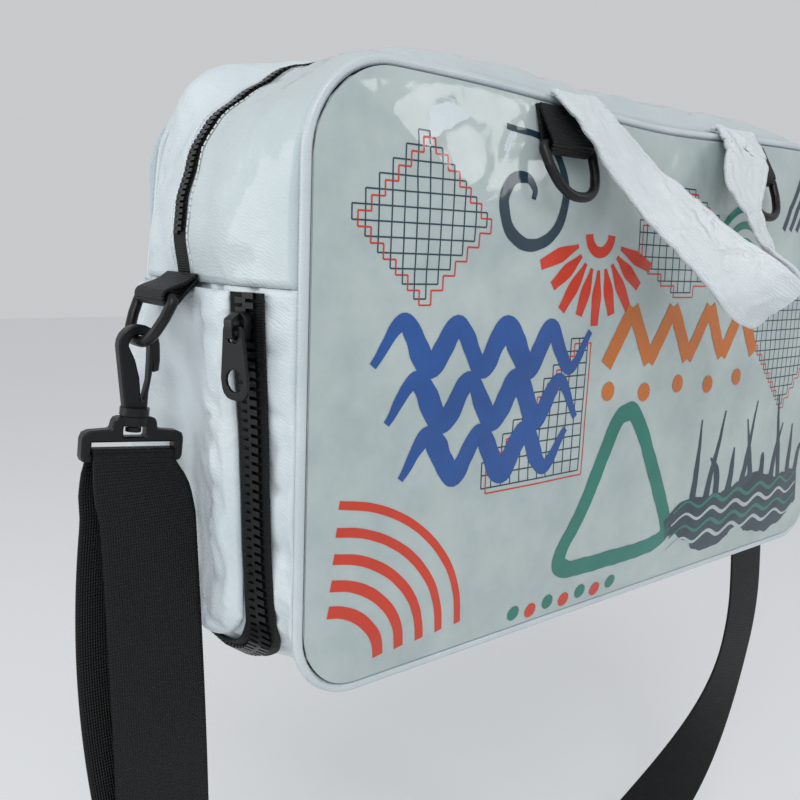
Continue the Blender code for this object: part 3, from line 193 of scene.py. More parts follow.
@dataclass(frozen=True)
class Skin:
    """The bag's outer surface, read by a station round the outline and a share of the depth.

    A station's whole number is 0 on the underside, 1 in the lower corner, 2 on the side under the
    seam, 3 over it, 4 in the upper corner and 5 on the top.
    """

    cut: Cut = Cut()

    def outline(self, station: float) -> tuple[Vector, Vector]:
        """The left half of the outline, in X and Z.

        Args:
            station: place round the outline.

        Returns:
            The point there and its outward direction.
        """
        cut = self.cut
        stretch = min(int(station), 5)
        share = station - stretch
        low = Vector((-cut.half_length + cut.bottom_radius, cut.base_drop + cut.bottom_radius))
        high = Vector((-cut.half_length + cut.top_radius, cut.height - cut.top_radius))
        if stretch == 0:
            return Vector((low.x * share, cut.base_drop)), Vector((0.0, -1.0))
        if stretch in (1, 4):
            angle = math.pi * ((1.5 if stretch == 1 else 1.0) - 0.5 * share)
            out = Vector((math.cos(angle), math.sin(angle)))
            radius = cut.bottom_radius if stretch == 1 else cut.top_radius
            return (low if stretch == 1 else high) + out * radius, out
        if stretch == 2:
            return Vector((-cut.half_length, lerp(low.y, cut.seam, share))), Vector((-1.0, 0.0))
        if stretch == 3:
            return Vector((-cut.half_length, lerp(cut.seam, high.y, share))), Vector((-1.0, 0.0))
        top = cut.height - cut.top_sag * math.sin(0.5 * math.pi * share) ** 3
        return Vector((high.x * (1.0 - share), top)), Vector((0.0, 1.0))

    def rim(self, station: float, depth_share: float = 0.0) -> tuple[Vector, Vector]:
        """The outline at a share of the depth, where the back is tucked in a little.

        Args:
            station: place round the outline.
            depth_share: 0 at the front, 1 at the back.

        Returns:
            The point there and its outward direction, in X and Z.
        """
        point, out = self.outline(station)
        lean = max(0.0, 2.0 * depth_share - 1.0) ** 1.5
        tuck = self.cut.back_tuck * table_value(BACK_LEAN, station) * lean
        return point + Vector((tuck, 0.0)), out

    def bulge(self, station: float, depth_share: float, side: int) -> float:
        """How far a band stands out from the outline.

        Args:
            station: place round the outline.
            depth_share: 0 at the front, 1 at the back.
            side: half of the bag; only the left one has the pocket's sag.

        Returns:
            The height over the outline.
        """
        cut = self.cut
        height = cut.base_drop * max(0.0, 1.0 - max(0.0, station - 1.0))
        height += cut.side_bulge * table_value(BAND_BULGE, station)
        from_edge = 1.0 - abs(2.0 * depth_share - 1.0)
        height *= math.sin(0.5 * math.pi * min(1.0, from_edge / table_value(BAND_EDGE, station)))
        if depth_share > 0.5:
            swell = math.sin(2.0 * math.pi * (depth_share - 0.5)) ** 2
            height += cut.side_bulge * table_value(BACK_BULGE, station) * swell
        if side < 0:
            drag = ease((from_edge - 0.14) / 0.42)
            height += cut.pocket_sag * table_value(CORNER_SAG, station) * drag
            tuck = math.sin(math.pi * max(0.0, min(1.0, (station - 1.0) / 1.2))) ** 2
            tuck *= ease(depth_share / 0.10) * (1.0 - ease((depth_share - 0.15) / 0.24))
            height -= cut.corner_tuck * tuck
        return height

    def point(self, station: float, share: float, lift: float = 0.0, side: int = Side.LEFT) -> Vector:
        """Point on or over the outside of a band.

        Args:
            station: place round the outline.
            share: share of the depth, 0 at the front.
            lift: height over the cloth.
            side: half of the bag.

        Returns:
            The point.
        """
        flat, out = self.rim(station, share)
        flat = flat + out * (self.bulge(station, share, side) + lift)
        depth = lerp(-self.cut.half_depth, self.cut.half_depth, share)
        return Vector((flat.x * -side, depth, flat.y))

    def out(self, station: float, share: float) -> Vector:
        """Outward direction of the left half's cloth at a place."""
        step = 0.004
        back = self.point(station, share + step) - self.point(station, share - step)
        up = self.point(min(TOP, station + step), share) - self.point(station - step, share)
        return up.normalized().cross(back.normalized()).normalized()

    def arc_length(self, station: float) -> float:
        """Length along the left outline from the middle of the underside."""
        cut = self.cut
        lengths = (
            cut.half_length - cut.bottom_radius,
            0.5 * math.pi * cut.bottom_radius,
            cut.seam - cut.base_drop - cut.bottom_radius,
            cut.height - cut.top_radius - cut.seam,
            0.5 * math.pi * cut.top_radius,
            cut.half_length - cut.top_radius,
        )
        stretch = min(int(station), 5)
        return sum(lengths[:stretch]) + lengths[stretch] * (station - stretch)

    def stations(self, first: float, last: float, step: float) -> list[float]:
        """Stations between two, with every whole number among them.

        Args:
            first: the lowest station.
            last: the highest station.
            step: about how far they lie apart, in metres.

        Returns:
            The stations in rising order.
        """
        found = [first]
        for stretch in range(int(first), 6):
            length = self.arc_length(stretch + 0.9999) - self.arc_length(stretch)
            count = max(2, round(length / step))
            found += [stretch + k / count for k in range(count + 1)]
        found = [s for s in found if first + 0.004 < s < last - 0.004]
        return sorted(set(round(s, 6) for s in [first, *found, last]))

    def top_height(self, x: float) -> float:
        """Height of the outline's top at this place along the bag."""
        cut = self.cut
        reach = cut.half_length - cut.top_radius
        if abs(x) > reach:
            rise = max(0.0, cut.top_radius**2 - (abs(x) - reach) ** 2)
            return cut.height - cut.top_radius + math.sqrt(rise)
        return self.rim(TOP - min(1.0, abs(x) / reach))[0].y

    def face(self, x: float, z: float) -> float:
        """How far a main panel stands out of the outline plane at this place."""
        top = self.top_height(max(-0.2, min(0.2, x))) - self.cut.middle
        reach = max(abs(x) / self.cut.half_length, abs(z - self.cut.middle) / top)
        return self.cut.crown * (1.0 - min(1.0, reach) ** 4)


SKIN = Skin()
CUT = SKIN.cut


def new_object(name: str, data: bpy.types.ID) -> Piece:
    """Puts a mesh, light or camera into the scene as an object at the origin."""
    made = bpy.data.objects.new(name, data)
    bpy.context.scene.collection.objects.link(made)
    return made


def shade(mesh: bpy.types.Mesh, degrees: float = 40.0) -> None:
    """Shades a mesh smooth, with its edges over an angle kept sharp."""
    mesh.polygons.foreach_set("use_smooth", [True] * len(mesh.polygons))
    mesh.set_sharp_from_angle(angle=math.radians(degrees))


@contextmanager
def edited(mesh: bpy.types.Mesh) -> Iterator[bmesh.types.BMesh]:
    """Opens a mesh for editing and writes it back."""
    work = bmesh.new()
    work.from_mesh(mesh)
    yield work
    work.to_mesh(mesh)
    work.free()


def grid(name: str, rows: Rows, wall: float = 0.0, offset: float = -1.0, closed: bool = False) -> Piece:
    """A sheet of quads through rows of points, with a UV map in metres.

    Args:
        name: the piece's name.
        rows: rows of points along the sheet.
        wall: thickness that Solidify gives it.
        offset: the side that Solidify thickens.
        closed: whether each row closes on itself.

    Returns:
        The new object.
    """
    count, width = len(rows), len(rows[0])
    verts = [point for row in rows for point in row]
    faces, marks = [], []
    along = [0.0]
    for before, after in zip(rows, rows[1:]):
        along.append(along[-1] + (after[width // 2] - before[width // 2]).length)
    middle = rows[count // 2]
    across = [0.0]
    for before, after in zip(middle, [*middle[1:], middle[0]]):
        across.append(across[-1] + (after - before).length)
    for i in range(count - 1):
        for j in range(width if closed else width - 1):
            nxt = (j + 1) % width
            low, high = i * width, (i + 1) * width
            faces.append((low + j, high + j, high + nxt, low + nxt))
            marks += [
                (across[j], along[i]), (across[j], along[i + 1]),
                (across[j + 1], along[i + 1]), (across[j + 1], along[i]),
            ]
    mesh = bpy.data.meshes.new(name)
    mesh.from_pydata(verts, [], faces)
    layer = mesh.uv_layers.new(name="cloth")
    layer.data.foreach_set("uv", [value for mark in marks for value in mark])
    shade(mesh, 60.0)
    made = new_object(name, mesh)
    if wall:
        thick = made.modifiers.new("wall", "SOLIDIFY")
        thick.thickness = wall
        thick.offset = offset
    return made


def tube(name: str, points: Sequence[Vector], radius: float, sides: int) -> Piece:
    """A round cord along a closed line, with a UV map in metres.

    Args:
        name: the piece's name.
        points: the line.
        radius: radius of the cord.
        sides: number of flats round it.

    Returns:
        The new object.
    """
    frames = []
    normal = Vector((0.0, 0.0, 1.0))
    for k in range(len(points)):
        tangent = (points[(k + 1) % len(points)] - points[k - 1]).normalized()
        if abs(tangent.dot(normal)) > 0.95 and k == 0:
            normal = ACROSS.copy()
        normal = (normal - tangent * normal.dot(tangent)).normalized()
        frames.append((normal, tangent.cross(normal)))
    rows = []
    angles = [2.0 * math.pi * k / sides for k in range(sides)]
    for point, (first, second) in zip(points, frames):
        rows.append([point + (first * math.cos(a) + second * math.sin(a)) * radius for a in angles])
    turn = frames[0][0].angle(frames[-1][0])
    shift = round(turn / (2.0 * math.pi / sides)) % sides
    rows.append(rows[0][-shift:] + rows[0][:-shift] if shift else list(rows[0]))
    made = grid(name, rows, closed=True)
    with edited(made.data) as work:
        bmesh.ops.remove_doubles(work, verts=work.verts, dist=1e-6)
        bmesh.ops.recalc_face_normals(work, faces=work.faces)
    shade(made.data, 50.0)
    return made


def rounded(corners: Sequence[tuple[float, float, float]], steps: int = 7) -> list[Vector]:
    """A closed outline with round corners.

    Args:
        corners: x, y and radius of each corner.
        steps: steps of the arc at a corner.

    Returns:
        The outline's points.
    """
    points = []
    for index, (x, y, radius) in enumerate(corners):
        corner = Vector((x, y))
        before = (Vector(corners[index - 1][:2]) - corner).normalized()
        after = (Vector(corners[(index + 1) % len(corners)][:2]) - corner).normalized()
        half = before.angle(after) / 2
        centre = corner + (before + after).normalized() * (radius / math.sin(half))
        start = corner + before * (radius / math.tan(half)) - centre
        end = corner + after * (radius / math.tan(half)) - centre
        first = math.atan2(start.y, start.x)
        turn = (math.atan2(end.y, end.x) - first + math.pi) % (2 * math.pi) - math.pi
        for step in range(steps + 1):
            angle = first + turn * step / steps
            points.append(centre + Vector((math.cos(angle), math.sin(angle))) * radius)
    return points


@dataclass(frozen=True)
class DRing:
    """A D ring of round wire: its straight bar, and the foot below it."""

    bar_width: float
    height: float
    foot_share: float
    foot_radius: float
    wire: float
    bar_radius: float = 0.0035
    waist_radius: float = 0.012

    def build(self, name: str, bar: Vector, across: Vector, down: Vector, body: str = "bag") -> None:
        """Sets the ring in place of the CAD node of its name.

        Args:
            name: the CAD node's name.
            bar: middle of its straight bar.
            across: direction of the bar.
            down: direction from the bar to its foot.
            body: the CAD body that carries it.
        """
        half, low = self.bar_width / 2, -self.height
        waist, foot = half * lerp(1.0, self.foot_share, 0.25), half * self.foot_share
        corners = (
            (-half, 0.0, self.bar_radius), (half, 0.0, self.bar_radius),
            (waist, low * 0.45, self.waist_radius), (foot, low, self.foot_radius),
            (-foot, low, self.foot_radius), (-waist, low * 0.45, self.waist_radius),
        )
        points = [bar + across * p.x - down * p.y for p in rounded(corners)]
        dress(tube(f"{name}_wire", points, self.wire / 2, 20), Finishes.plastic, body, [name])


def polished(node: str, bevel: float, degrees: float = 28.0) -> Piece:
    """A copy of a moulded CAD node with rounded edges and smooth shading, which replaces it.

    Args:
        node: the CAD node's name.
        bevel: radius of the rounded edges, in metres.
        degrees: edges over this angle are rounded.

    Returns:
        The new object.
    """
    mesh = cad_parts[node].data.copy()
    mesh.name = f"{node}_moulded"
    with edited(mesh) as work:
        bmesh.ops.remove_doubles(work, verts=work.verts, dist=2e-6)
        flat = math.radians(1.0)
        bmesh.ops.dissolve_limit(work, angle_limit=flat, verts=work.verts, edges=work.edges)
    mesh.materials.clear()
    made = new_object(f"{node}_moulded", mesh)
    edge = made.modifiers.new("edge", "BEVEL")
    edge.width = bevel
    edge.segments = 3
    edge.limit_method = "ANGLE"
    edge.angle_limit = math.radians(degrees)
    shade(mesh, degrees)
    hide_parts(node)
    return made


def hex_colour(code: str) -> tuple[float, float, float, float]:
    """Linear colour of an sRGB hex code."""
    values = [int(code[k : k + 2], 16) / 255 for k in (1, 3, 5)]
    linear = [v / 12.92 if v <= 0.04045 else ((v + 0.055) / 1.055) ** 2.4 for v in values]
    return (*linear, 1.0)


def add_node(tree: Tree, kind: str, settings: dict | None = None, **links: Socket) -> Node:
    """Adds a node to a tree.

    Args:
        tree: the tree it goes into.
        kind: the node's type.
        settings: its properties, and its sockets' values by name or index.
        links: what feeds a socket, by the socket's name with spaces as underscores, or in_ and
            the socket's index.

    Returns:
        The new node.
    """
    node = tree.nodes.new(kind)
    for key, value in (settings or {}).items():
        if isinstance(key, int) or key in node.inputs:
            node.inputs[key].default_value = value
        else:
            setattr(node, key, value)
    for key, source in links.items():
        name = int(key[3:]) if key.startswith("in_") else key.replace("_", " ")
        tree.links.new(source, node.inputs[name])
    return node


@dataclass(frozen=True)
class Pattern:
    """The nodes of one material: short calls for the kinds used most."""

    tree: Tree
    shader: Node

    def add(self, kind: str, settings: dict | None = None, **links: Socket) -> Node:
        """Adds a shader node."""
        return add_node(self.tree, f"ShaderNode{kind}", settings, **links)

    def place(self) -> Socket:
        """Place on the piece, in metres."""
        return self.add("TexCoord").outputs["Object"]

    def noise(self, place: Socket, scale: float, detail: float, **more: float) -> Node:
        """Soft noise."""
        return self.add("TexNoise", {"Scale": scale, "Detail": detail, **more}, Vector=place)

    def spread(self, value: Socket, low: float, high: float) -> Socket:
        """Spreads the values between two over 0 to 1."""
        return self.add("MapRange", {"From Min": low, "From Max": high}, Value=value).outputs[0]

    def sum(self, kind: str, number: float | None = None, **links: Socket) -> Socket:
        """One operation of arithmetic, with a number as its second value."""
        settings = {"operation": kind} if number is None else {"operation": kind, 1: number}
        return self.add("Math", settings, **links).outputs[0]

    def bump(self, height: Socket, strength: float, distance: float, **links: Socket) -> Socket:
        """Turns heights into a slope of the surface."""
        settings = {"Strength": strength, "Distance": distance}
        return self.add("Bump", settings, Height=height, **links).outputs[0]

    def feed(self, name: str, value: Socket) -> None:
        """Feeds one of the shader's sockets."""
        self.tree.links.new(value, self.shader.inputs[name])


@dataclass(frozen=True)
class Finish:
    """A procedural finish: base shader values, with a subclass's pattern on top."""

    name: str
    colour: str
    shade_colour: str
    roughness: float = 0.5
    coat: float = 0.0
    coat_roughness: float = 0.1
    ior: float = 1.5
    slot: str = ""

    def make(self) -> bpy.types.Material:
        """Builds the material once and returns it."""
        found = bpy.data.materials.get(self.name)
        if found:
            return found
        made = bpy.data.materials.new(self.name)
        made.use_nodes = True
        shader = made.node_tree.nodes["Principled BSDF"]
        values = {
            "Base Color": hex_colour(self.colour), "Roughness": self.roughness, "IOR": self.ior,
            "Coat Weight": self.coat, "Coat Roughness": self.coat_roughness,
        }
        for socket, value in values.items():
            shader.inputs[socket].default_value = value
        self.draw(Pattern(made.node_tree, shader))
        return made

    def draw(self, pen: Pattern) -> None:
        """Adds nothing: a plain finish."""

    def tint(self, pen: Pattern, share: Socket) -> None:
        """Mixes the base colour from the shade colour and the colour."""
        ends = {"data_type": "RGBA", 6: hex_colour(self.shade_colour), 7: hex_colour(self.colour)}
        pen.feed("Base Color", pen.add("Mix", ends, in_0=share).outputs[2])


@dataclass(frozen=True)
class CoatedCloth(Finish):
    """Paper-like cloth, coated and calendered: flat sheen, a fine press pattern and soft creases."""

    slot: str = "coated_white_cloth"
    crease_height: float = 0.42
    press: float = 0.15

    def draw(self, pen: Pattern) -> None:
        """Creases of about 25 mm, and a press pattern of slanted lines about 1.4 mm apart."""
        place = pen.place()
        bend = pen.noise(place, 34.0, 4.0).outputs["Color"]
        warped = pen.add("Mix", {"data_type": "VECTOR", 0: 0.030}, in_4=place, in_5=bend)
        stretch = {"Rotation": (0.6, 0.5, 0.7), "Scale": (1.0, 0.42, 0.8)}
        slant = pen.add("Mapping", stretch, Vector=warped.outputs[1])
        edges = {"feature": "DISTANCE_TO_EDGE", "Scale": 62.0}
        cells = pen.add("TexVoronoi", edges, Vector=slant.outputs[0])
        falling = {"From Max": 0.24, "To Min": 1.0, "To Max": 0.0}
        fold = pen.add("MapRange", falling, Value=cells.outputs["Distance"]).outputs[0]
        patches = pen.noise(place, 16.0, 3.0).outputs["Fac"]
        folds = pen.sum("MULTIPLY", in_0=fold, in_1=pen.spread(patches, 0.44, 0.74))
        turned = pen.add("Mapping", {"Rotation": (0.55, 0.75, 0.55)}, Vector=place)
        wavy = {"Scale": 230.0, "Distortion": 9.0, "Detail": 2.5, "Detail Scale": 0.9}
        lines = pen.add("TexWave", wavy, Vector=turned.outputs[0]).outputs["Fac"]
        grain = pen.noise(place, 620.0, 3.0).outputs["Fac"]
        fine = pen.add("Mix", {"data_type": "FLOAT", 0: 0.5}, in_2=lines, in_3=grain)
        low = pen.bump(fine.outputs[0], self.press * 1.6, 0.0008)
        self.tint(pen, pen.spread(patches, 0.30, 0.72))
        pen.feed("Normal", pen.bump(folds, self.crease_height, 0.0022, Normal=low))


@dataclass(frozen=True)
class FilmedPrint(Finish):
    """Ink under clear calendered vinyl: a flat colour under a glossy, faintly wavy coat."""

    roughness: float = 0.52
    coat: float = 0.55
    coat_roughness: float = 0.09
    slot: str = "clear_film"

    def draw(self, pen: Pattern) -> None:
        """Faint blotches in the colour, pebbled cloth under the film, waves in the film."""
        place = pen.place()
        blot = pen.noise(place, 26.0, 6.0, Roughness=0.62).outputs["Fac"]
        pebble = pen.noise(place, 150.0, 3.0, Distortion=0.6).outputs["Fac"]
        wave = pen.noise(place, 30.0, 2.0, Distortion=0.8).outputs["Fac"]
        self.tint(pen, pen.spread(blot, 0.34, 0.68))
        pen.feed("Normal", pen.bump(pebble, 0.16, 0.0010))
        pen.feed("Coat Normal", pen.bump(wave, 0.30, 0.0030))


@dataclass(frozen=True)
class Webbing(Finish):
    """Heavy nylon webbing: ribs across the width with a fine twill between them, painted shade in the
    grooves and a painted highlight on the rib tops.
    """

    ior: float = 1.38
    rib: float = 0.0016

    def draw(self, pen: Pattern) -> None:
        """Ribs over the UV map, which is in metres, wider than real ones of about 1 mm to show. The colour
        follows the rib heights: painted shade in the grooves, a painted highlight on the rib tops, and
        random tone from the wear noise.
        """
        place = pen.add("UVMap", {"uv_map": "cloth"}).outputs[0]
        split = pen.add("SeparateXYZ", None, Vector=place)
        heights = []
        for axis, pitch in (("Y", self.rib), ("X", self.rib * 0.80)):
            turns = pen.sum("MULTIPLY", 2.0 * math.pi / pitch, in_0=split.outputs[axis])
            heights.append(pen.sum("SINE", in_0=turns))
        wear = pen.noise(place, 240.0, 4.0).outputs["Fac"]
        woven = pen.sum("MULTIPLY_ADD", 0.35, in_0=heights[1], in_2=heights[0])
        rough = pen.sum("MULTIPLY_ADD", 0.5, in_0=wear, in_2=woven)
        # Painted shade and highlight: darker in the grooves between the ribs, lighter on the rib tops, with
        # random wear tone mixed in.
        self.tint(pen, pen.spread(rough, -0.6, 2.4))
        pen.feed("Normal", pen.bump(rough, 0.75, 0.00035))


@dataclass(frozen=True)
class Moulded(Finish):
    """Injection-moulded acetal: satin black with a faint spark-eroded grain."""

    ior: float = 1.44
    grain: float = 0.12

    def draw(self, pen: Pattern) -> None:
        """Grain of about 1 mm, drawn coarser than real so that it shows."""
        place = pen.place()
        fine = pen.noise(place, 900.0, 3.0).outputs["Fac"]
        wear = pen.noise(place, 60.0, 4.0).outputs["Fac"]
        limits = {"To Min": self.roughness - 0.07, "To Max": self.roughness + 0.10}
        pen.feed("Roughness", pen.add("MapRange", limits, Value=wear).outputs[0])
        pen.feed("Normal", pen.bump(fine, self.grain, 0.0003))


class Finishes:
    """Every finish of the bag, by what it is made of."""

    white = CoatedCloth("coated_white_cloth_look", "#DDE7EB", "#CEDAE0", 0.36)
    handle = CoatedCloth(
        "crinkled_handle_cloth", "#E4EAED", "#D5DEE2", 0.36, press=0.26, crease_height=0.9,
    )
    piping = CoatedCloth(
        "piping_cloth", "#D3DCE0", "#BECAD0", 0.34, coat=0.5, coat_roughness=0.2, crease_height=0.15,
    )
    top = CoatedCloth("filmed_white_cloth", "#CBD7DA", "#BCCACE", 0.38, coat=0.6, crease_height=0.25)
    film = FilmedPrint("filmed_panel", "#BCC8C7", "#A9B7B7", 0.50)
    navy = FilmedPrint("filmed_navy_print", "#0C3648", "#082A3A")
    vermilion = FilmedPrint("filmed_vermilion_print", "#D63306", "#C42C04")
    red = FilmedPrint("filmed_red_line_print", "#D22E14", "#C42A12")
    teal = FilmedPrint("filmed_teal_print", "#067C6C", "#046E60")
    orange = FilmedPrint("filmed_orange_print", "#CC6E14", "#BE640E")
    blue = FilmedPrint("filmed_blue_print", "#04509F", "#02468E")
    # The webbing's shade colour is painted shade in the grooves between its ribs.
    webbing = Webbing("nylon_webbing", "#0C0F13", "#020304", 0.50, slot="black_webbing")
    plastic = Moulded("moulded_acetal", "#060709", "#060709", 0.36, slot="black_moulded_plastic")
    teeth = Moulded("moulded_zip_teeth", "#06080A", "#06080A", 0.32, slot="black_zip")
    # The zip tape's shade colour is painted shade in the grooves between its ribs.
    tape = Webbing("woven_zip_tape", "#0C0F12", "#030405", 0.58, slot="black_zip", rib=0.0013)
    thread = Finish("white_thread", "#E6ECEE", "#E6ECEE", 0.55, slot="coated_white_cloth")


def dress(piece: Piece, finish: Finish, body: str = "bag", replaces: Iterable[str] = ()) -> Piece:
    """Gives a piece its finish, and joins it to its body.

    Args:
        piece: the new object.
        finish: what it is made of.
        body: the CAD body that carries it.
        replaces: CAD nodes that it stands for.

    Returns:
        The same object.
    """
    piece.data.materials.clear()
    piece.data.materials.append(finish.make())
    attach(piece, body)
    names = tuple(replaces)
    if names:
        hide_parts(*names)
    LOG.info("%s: %d faces, %s, on %s", piece.name, len(piece.data.polygons), finish.name, body)
    return piece


@dataclass
class Repeat:
    """Small blocks set along a path by Geometry Nodes: teeth and stitches.

    Attributes:
        name: the piece's name.
        spots: for each block its place, its long direction and its outward direction.
        size: length, width and height of a block.
        finish: what the blocks are made of.
    """

    name: str
    spots: Spots
    size: tuple[float, float, float]
    finish: Finish

    def tree(self) -> Tree:
        """The node tree, with the block's size and its material as named inputs."""
        tree = bpy.data.node_groups.new(f"{self.name}_set", "GeometryNodeTree")
        for name, way, kind in (
            ("Spots", "INPUT", "Geometry"), ("Block size", "INPUT", "Vector"),
            ("Finish", "INPUT", "Material"), ("Blocks", "OUTPUT", "Geometry"),
        ):
            tree.interface.new_socket(name=name, in_out=way, socket_type=f"NodeSocket{kind}")
        given = add_node(tree, "NodeGroupInput")
        along, out = (
            add_node(tree, "GeometryNodeInputNamedAttribute", {"data_type": "FLOAT_VECTOR", 0: key})
            for key in ("along", "out")
        )
        block = add_node(tree, "GeometryNodeMeshCube", None, Size=given.outputs["Block size"])
        turn = add_node(
            tree, "FunctionNodeAxesToRotation", {"primary_axis": "Z", "secondary_axis": "X"},
            Primary_Axis=out.outputs[0], Secondary_Axis=along.outputs[0],
        )
        placed = add_node(
            tree, "GeometryNodeInstanceOnPoints", None,
            Points=given.outputs["Spots"], Instance=block.outputs["Mesh"], Rotation=turn.outputs[0],
        )
        real = add_node(tree, "GeometryNodeRealizeInstances", None, Geometry=placed.outputs[0])
        dyed = add_node(
            tree, "GeometryNodeSetMaterial", None,
            Geometry=real.outputs[0], Material=given.outputs["Finish"],
        )
        add_node(tree, "NodeGroupOutput", None, Blocks=dyed.outputs[0])
        return tree

    def build(self) -> Piece:
        """Sets the blocks and returns them as one plain mesh piece."""
        points = bpy.data.meshes.new(f"{self.name}_spots")
        points.from_pydata([spot[0] for spot in self.spots], [], [])
        for key, column in (("along", 1), ("out", 2)):
            layer = points.attributes.new(key, "FLOAT_VECTOR", "POINT")
            layer.data.foreach_set("vector", [value for spot in self.spots for value in spot[column]])
        holder = new_object(f"{self.name}_holder", points)
        tree = self.tree()
        setter = holder.modifiers.new("blocks", "NODES")
        setter.node_group = tree
        ids = {item.name: item.identifier for item in tree.interface.items_tree}
        setter[ids["Block size"]] = self.size
        setter[ids["Finish"]] = self.finish.make()
        bpy.context.view_layer.update()
        shown = holder.evaluated_get(bpy.context.evaluated_depsgraph_get())
        mesh = bpy.data.meshes.new_from_object(shown)
        mesh.name = self.name
        bpy.data.objects.remove(holder)
        return dress(new_object(self.name, mesh), self.finish)


def along_path(
    points: Sequence[Vector], outs: Sequence[Vector], pitch: float, aside: float = 0.0, start: float = 0.5,
) -> Spots:
    """Spots a pitch apart along a path, moved sideways by a distance.

    Args:
        points: the path.
        outs: the outward direction at each of its points.
        pitch: distance between spots.
        aside: distance across the path, to the side of along cross out.
        start: where the first spot lies, as a share of the pitch.

    Returns:
        Place, long direction and outward direction of each spot.
    """
    spots = []
    walked, due = 0.0, pitch * start
    for (a, b), (out_a, out_b) in zip(zip(points, points[1:]), zip(outs, outs[1:])):
        step = (b - a).length
        while step > 0.0 and due <= walked + step:
            share = (due - walked) / step
            along = (b - a).normalized()
            out = out_a.lerp(out_b, share)
            out = (out - along * out.dot(along)).normalized()
            spots.append((a.lerp(b, share) + along.cross(out) * aside, along, out))
            due += pitch
        walked += step
    return spots


@dataclass
class Front:
    """The clear film over the printed front, with the soft waves of vinyl that has been folded."""

    wave: float = 0.0017
    wave_size: float = 0.060
    fine: float = 0.00038
    fine_size: float = 0.021
    dent: float = 0.0009
    dent_size: float = 0.055
    back_wave: float = 0.0016
    back_dent: float = 0.0012
    back_size: float = 0.04
    edge_hold: tuple = (0.86, 0.12)
    rings: int = 84
    around: float = 0.0034
    inner_share: float = 0.0015

    def waves(self, x: float, z: float) -> float:
        """Height of the film's waves, strongest along the top and toward the right."""
        long = ripple(x * 0.62 + z * 0.5, 1.7, z * 1.1 - x * 0.35, self.wave_size)
        short = ripple(x, 4.1, z, self.fine_size)
        top = ease((z - 0.20) / 0.10)
        dent = crease(x * 0.5 + z, 2.6, z * 0.6 - x * 0.8, self.dent_size, 5.0)
        waves = self.wave * long * (0.45 + 0.9 * top) + self.fine * short
        return waves - self.dent * dent * (0.35 + 0.9 * top)

    def shape(self, x: float, z: float) -> tuple[float, float]:
        """The panel's crown and how freely its cloth can wave, which fades out at the edge."""
        reach = min(1.0, max(abs(x) / CUT.half_length, abs(z - CUT.middle) / (CUT.height - CUT.middle)))
        start, width = self.edge_hold
        return CUT.crown * (1.0 - reach**4), 1.0 - ease((reach - start) / width)

    def at(self, x: float, z: float, lift: float = 0.0) -> Vector:
        """Point over the film, at a height above it."""
        crown, free = self.shape(x, z)
        depth = CUT.cloth / 2 + CUT.gap + CUT.film + crown + self.waves(x, z) * free
        return Vector((x, -CUT.half_depth - depth - lift, z))

    def back_at(self, x: float, z: float) -> Vector:
        """Point of the back panel."""
        crown, free = self.shape(x, z)
        soft = self.back_wave * ripple(x, 9.0, z, self.dent_size)
        soft -= self.back_dent * crease(x, 6.0, z, self.back_size)
        return Vector((x, CUT.half_depth + CUT.cloth / 2 + crown + soft * free, z))

    def edge(self) -> list[tuple[float, float]]:
        """The panel's outline inside the piping, all the way round."""
        left = []
        for station in SKIN.stations(0.0, TOP, self.around):
            flat, out = SKIN.rim(station)
            flat = flat - out * CUT.inset
            left.append((flat.x, flat.y))
        return left + [(-x, z) for x, z in reversed(left[1:-1])]

    def sheet(self, name: str, place: Callable[[float, float], Vector], flip: bool) -> Piece:
        """A sheet that fills the outline, from its edge to its middle.

        Args:
            name: the piece's name.
            place: gives the sheet's point at an x and a z.
            flip: whether its faces are turned round, for the back.

        Returns:
            The new object.
        """
        edge, middle = self.edge(), CUT.middle
        rows = []
        for k in range(self.rings + 1):
            reach = 1.0 - (k / self.rings) * (1.0 - self.inner_share)
            rows.append([place(x * reach, middle + (z - middle) * reach) for x, z in edge])
        made = grid(name, rows, closed=True)
        with edited(made.data) as work:
            inner = [v for v in work.verts if v.index >= self.rings * len(edge)]
            bmesh.ops.contextual_create(work, geom=inner)
            if flip:
                bmesh.ops.reverse_faces(work, faces=work.faces)
        shade(made.data, 60.0)
        return made

    def build(self) -> None:
        """Film over the print, and the plain back panel."""
        film = self.sheet("front_film_waves", self.at, False)
        dress(film, Finishes.film, replaces=["front_film"])
        back = self.sheet("back_panel_cloth", self.back_at, True)
        dress(back, Finishes.white, replaces=["back_panel"])
        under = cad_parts["front_panel"]
        under.data.materials.clear()
        under.data.materials.append(Finishes.white.make())


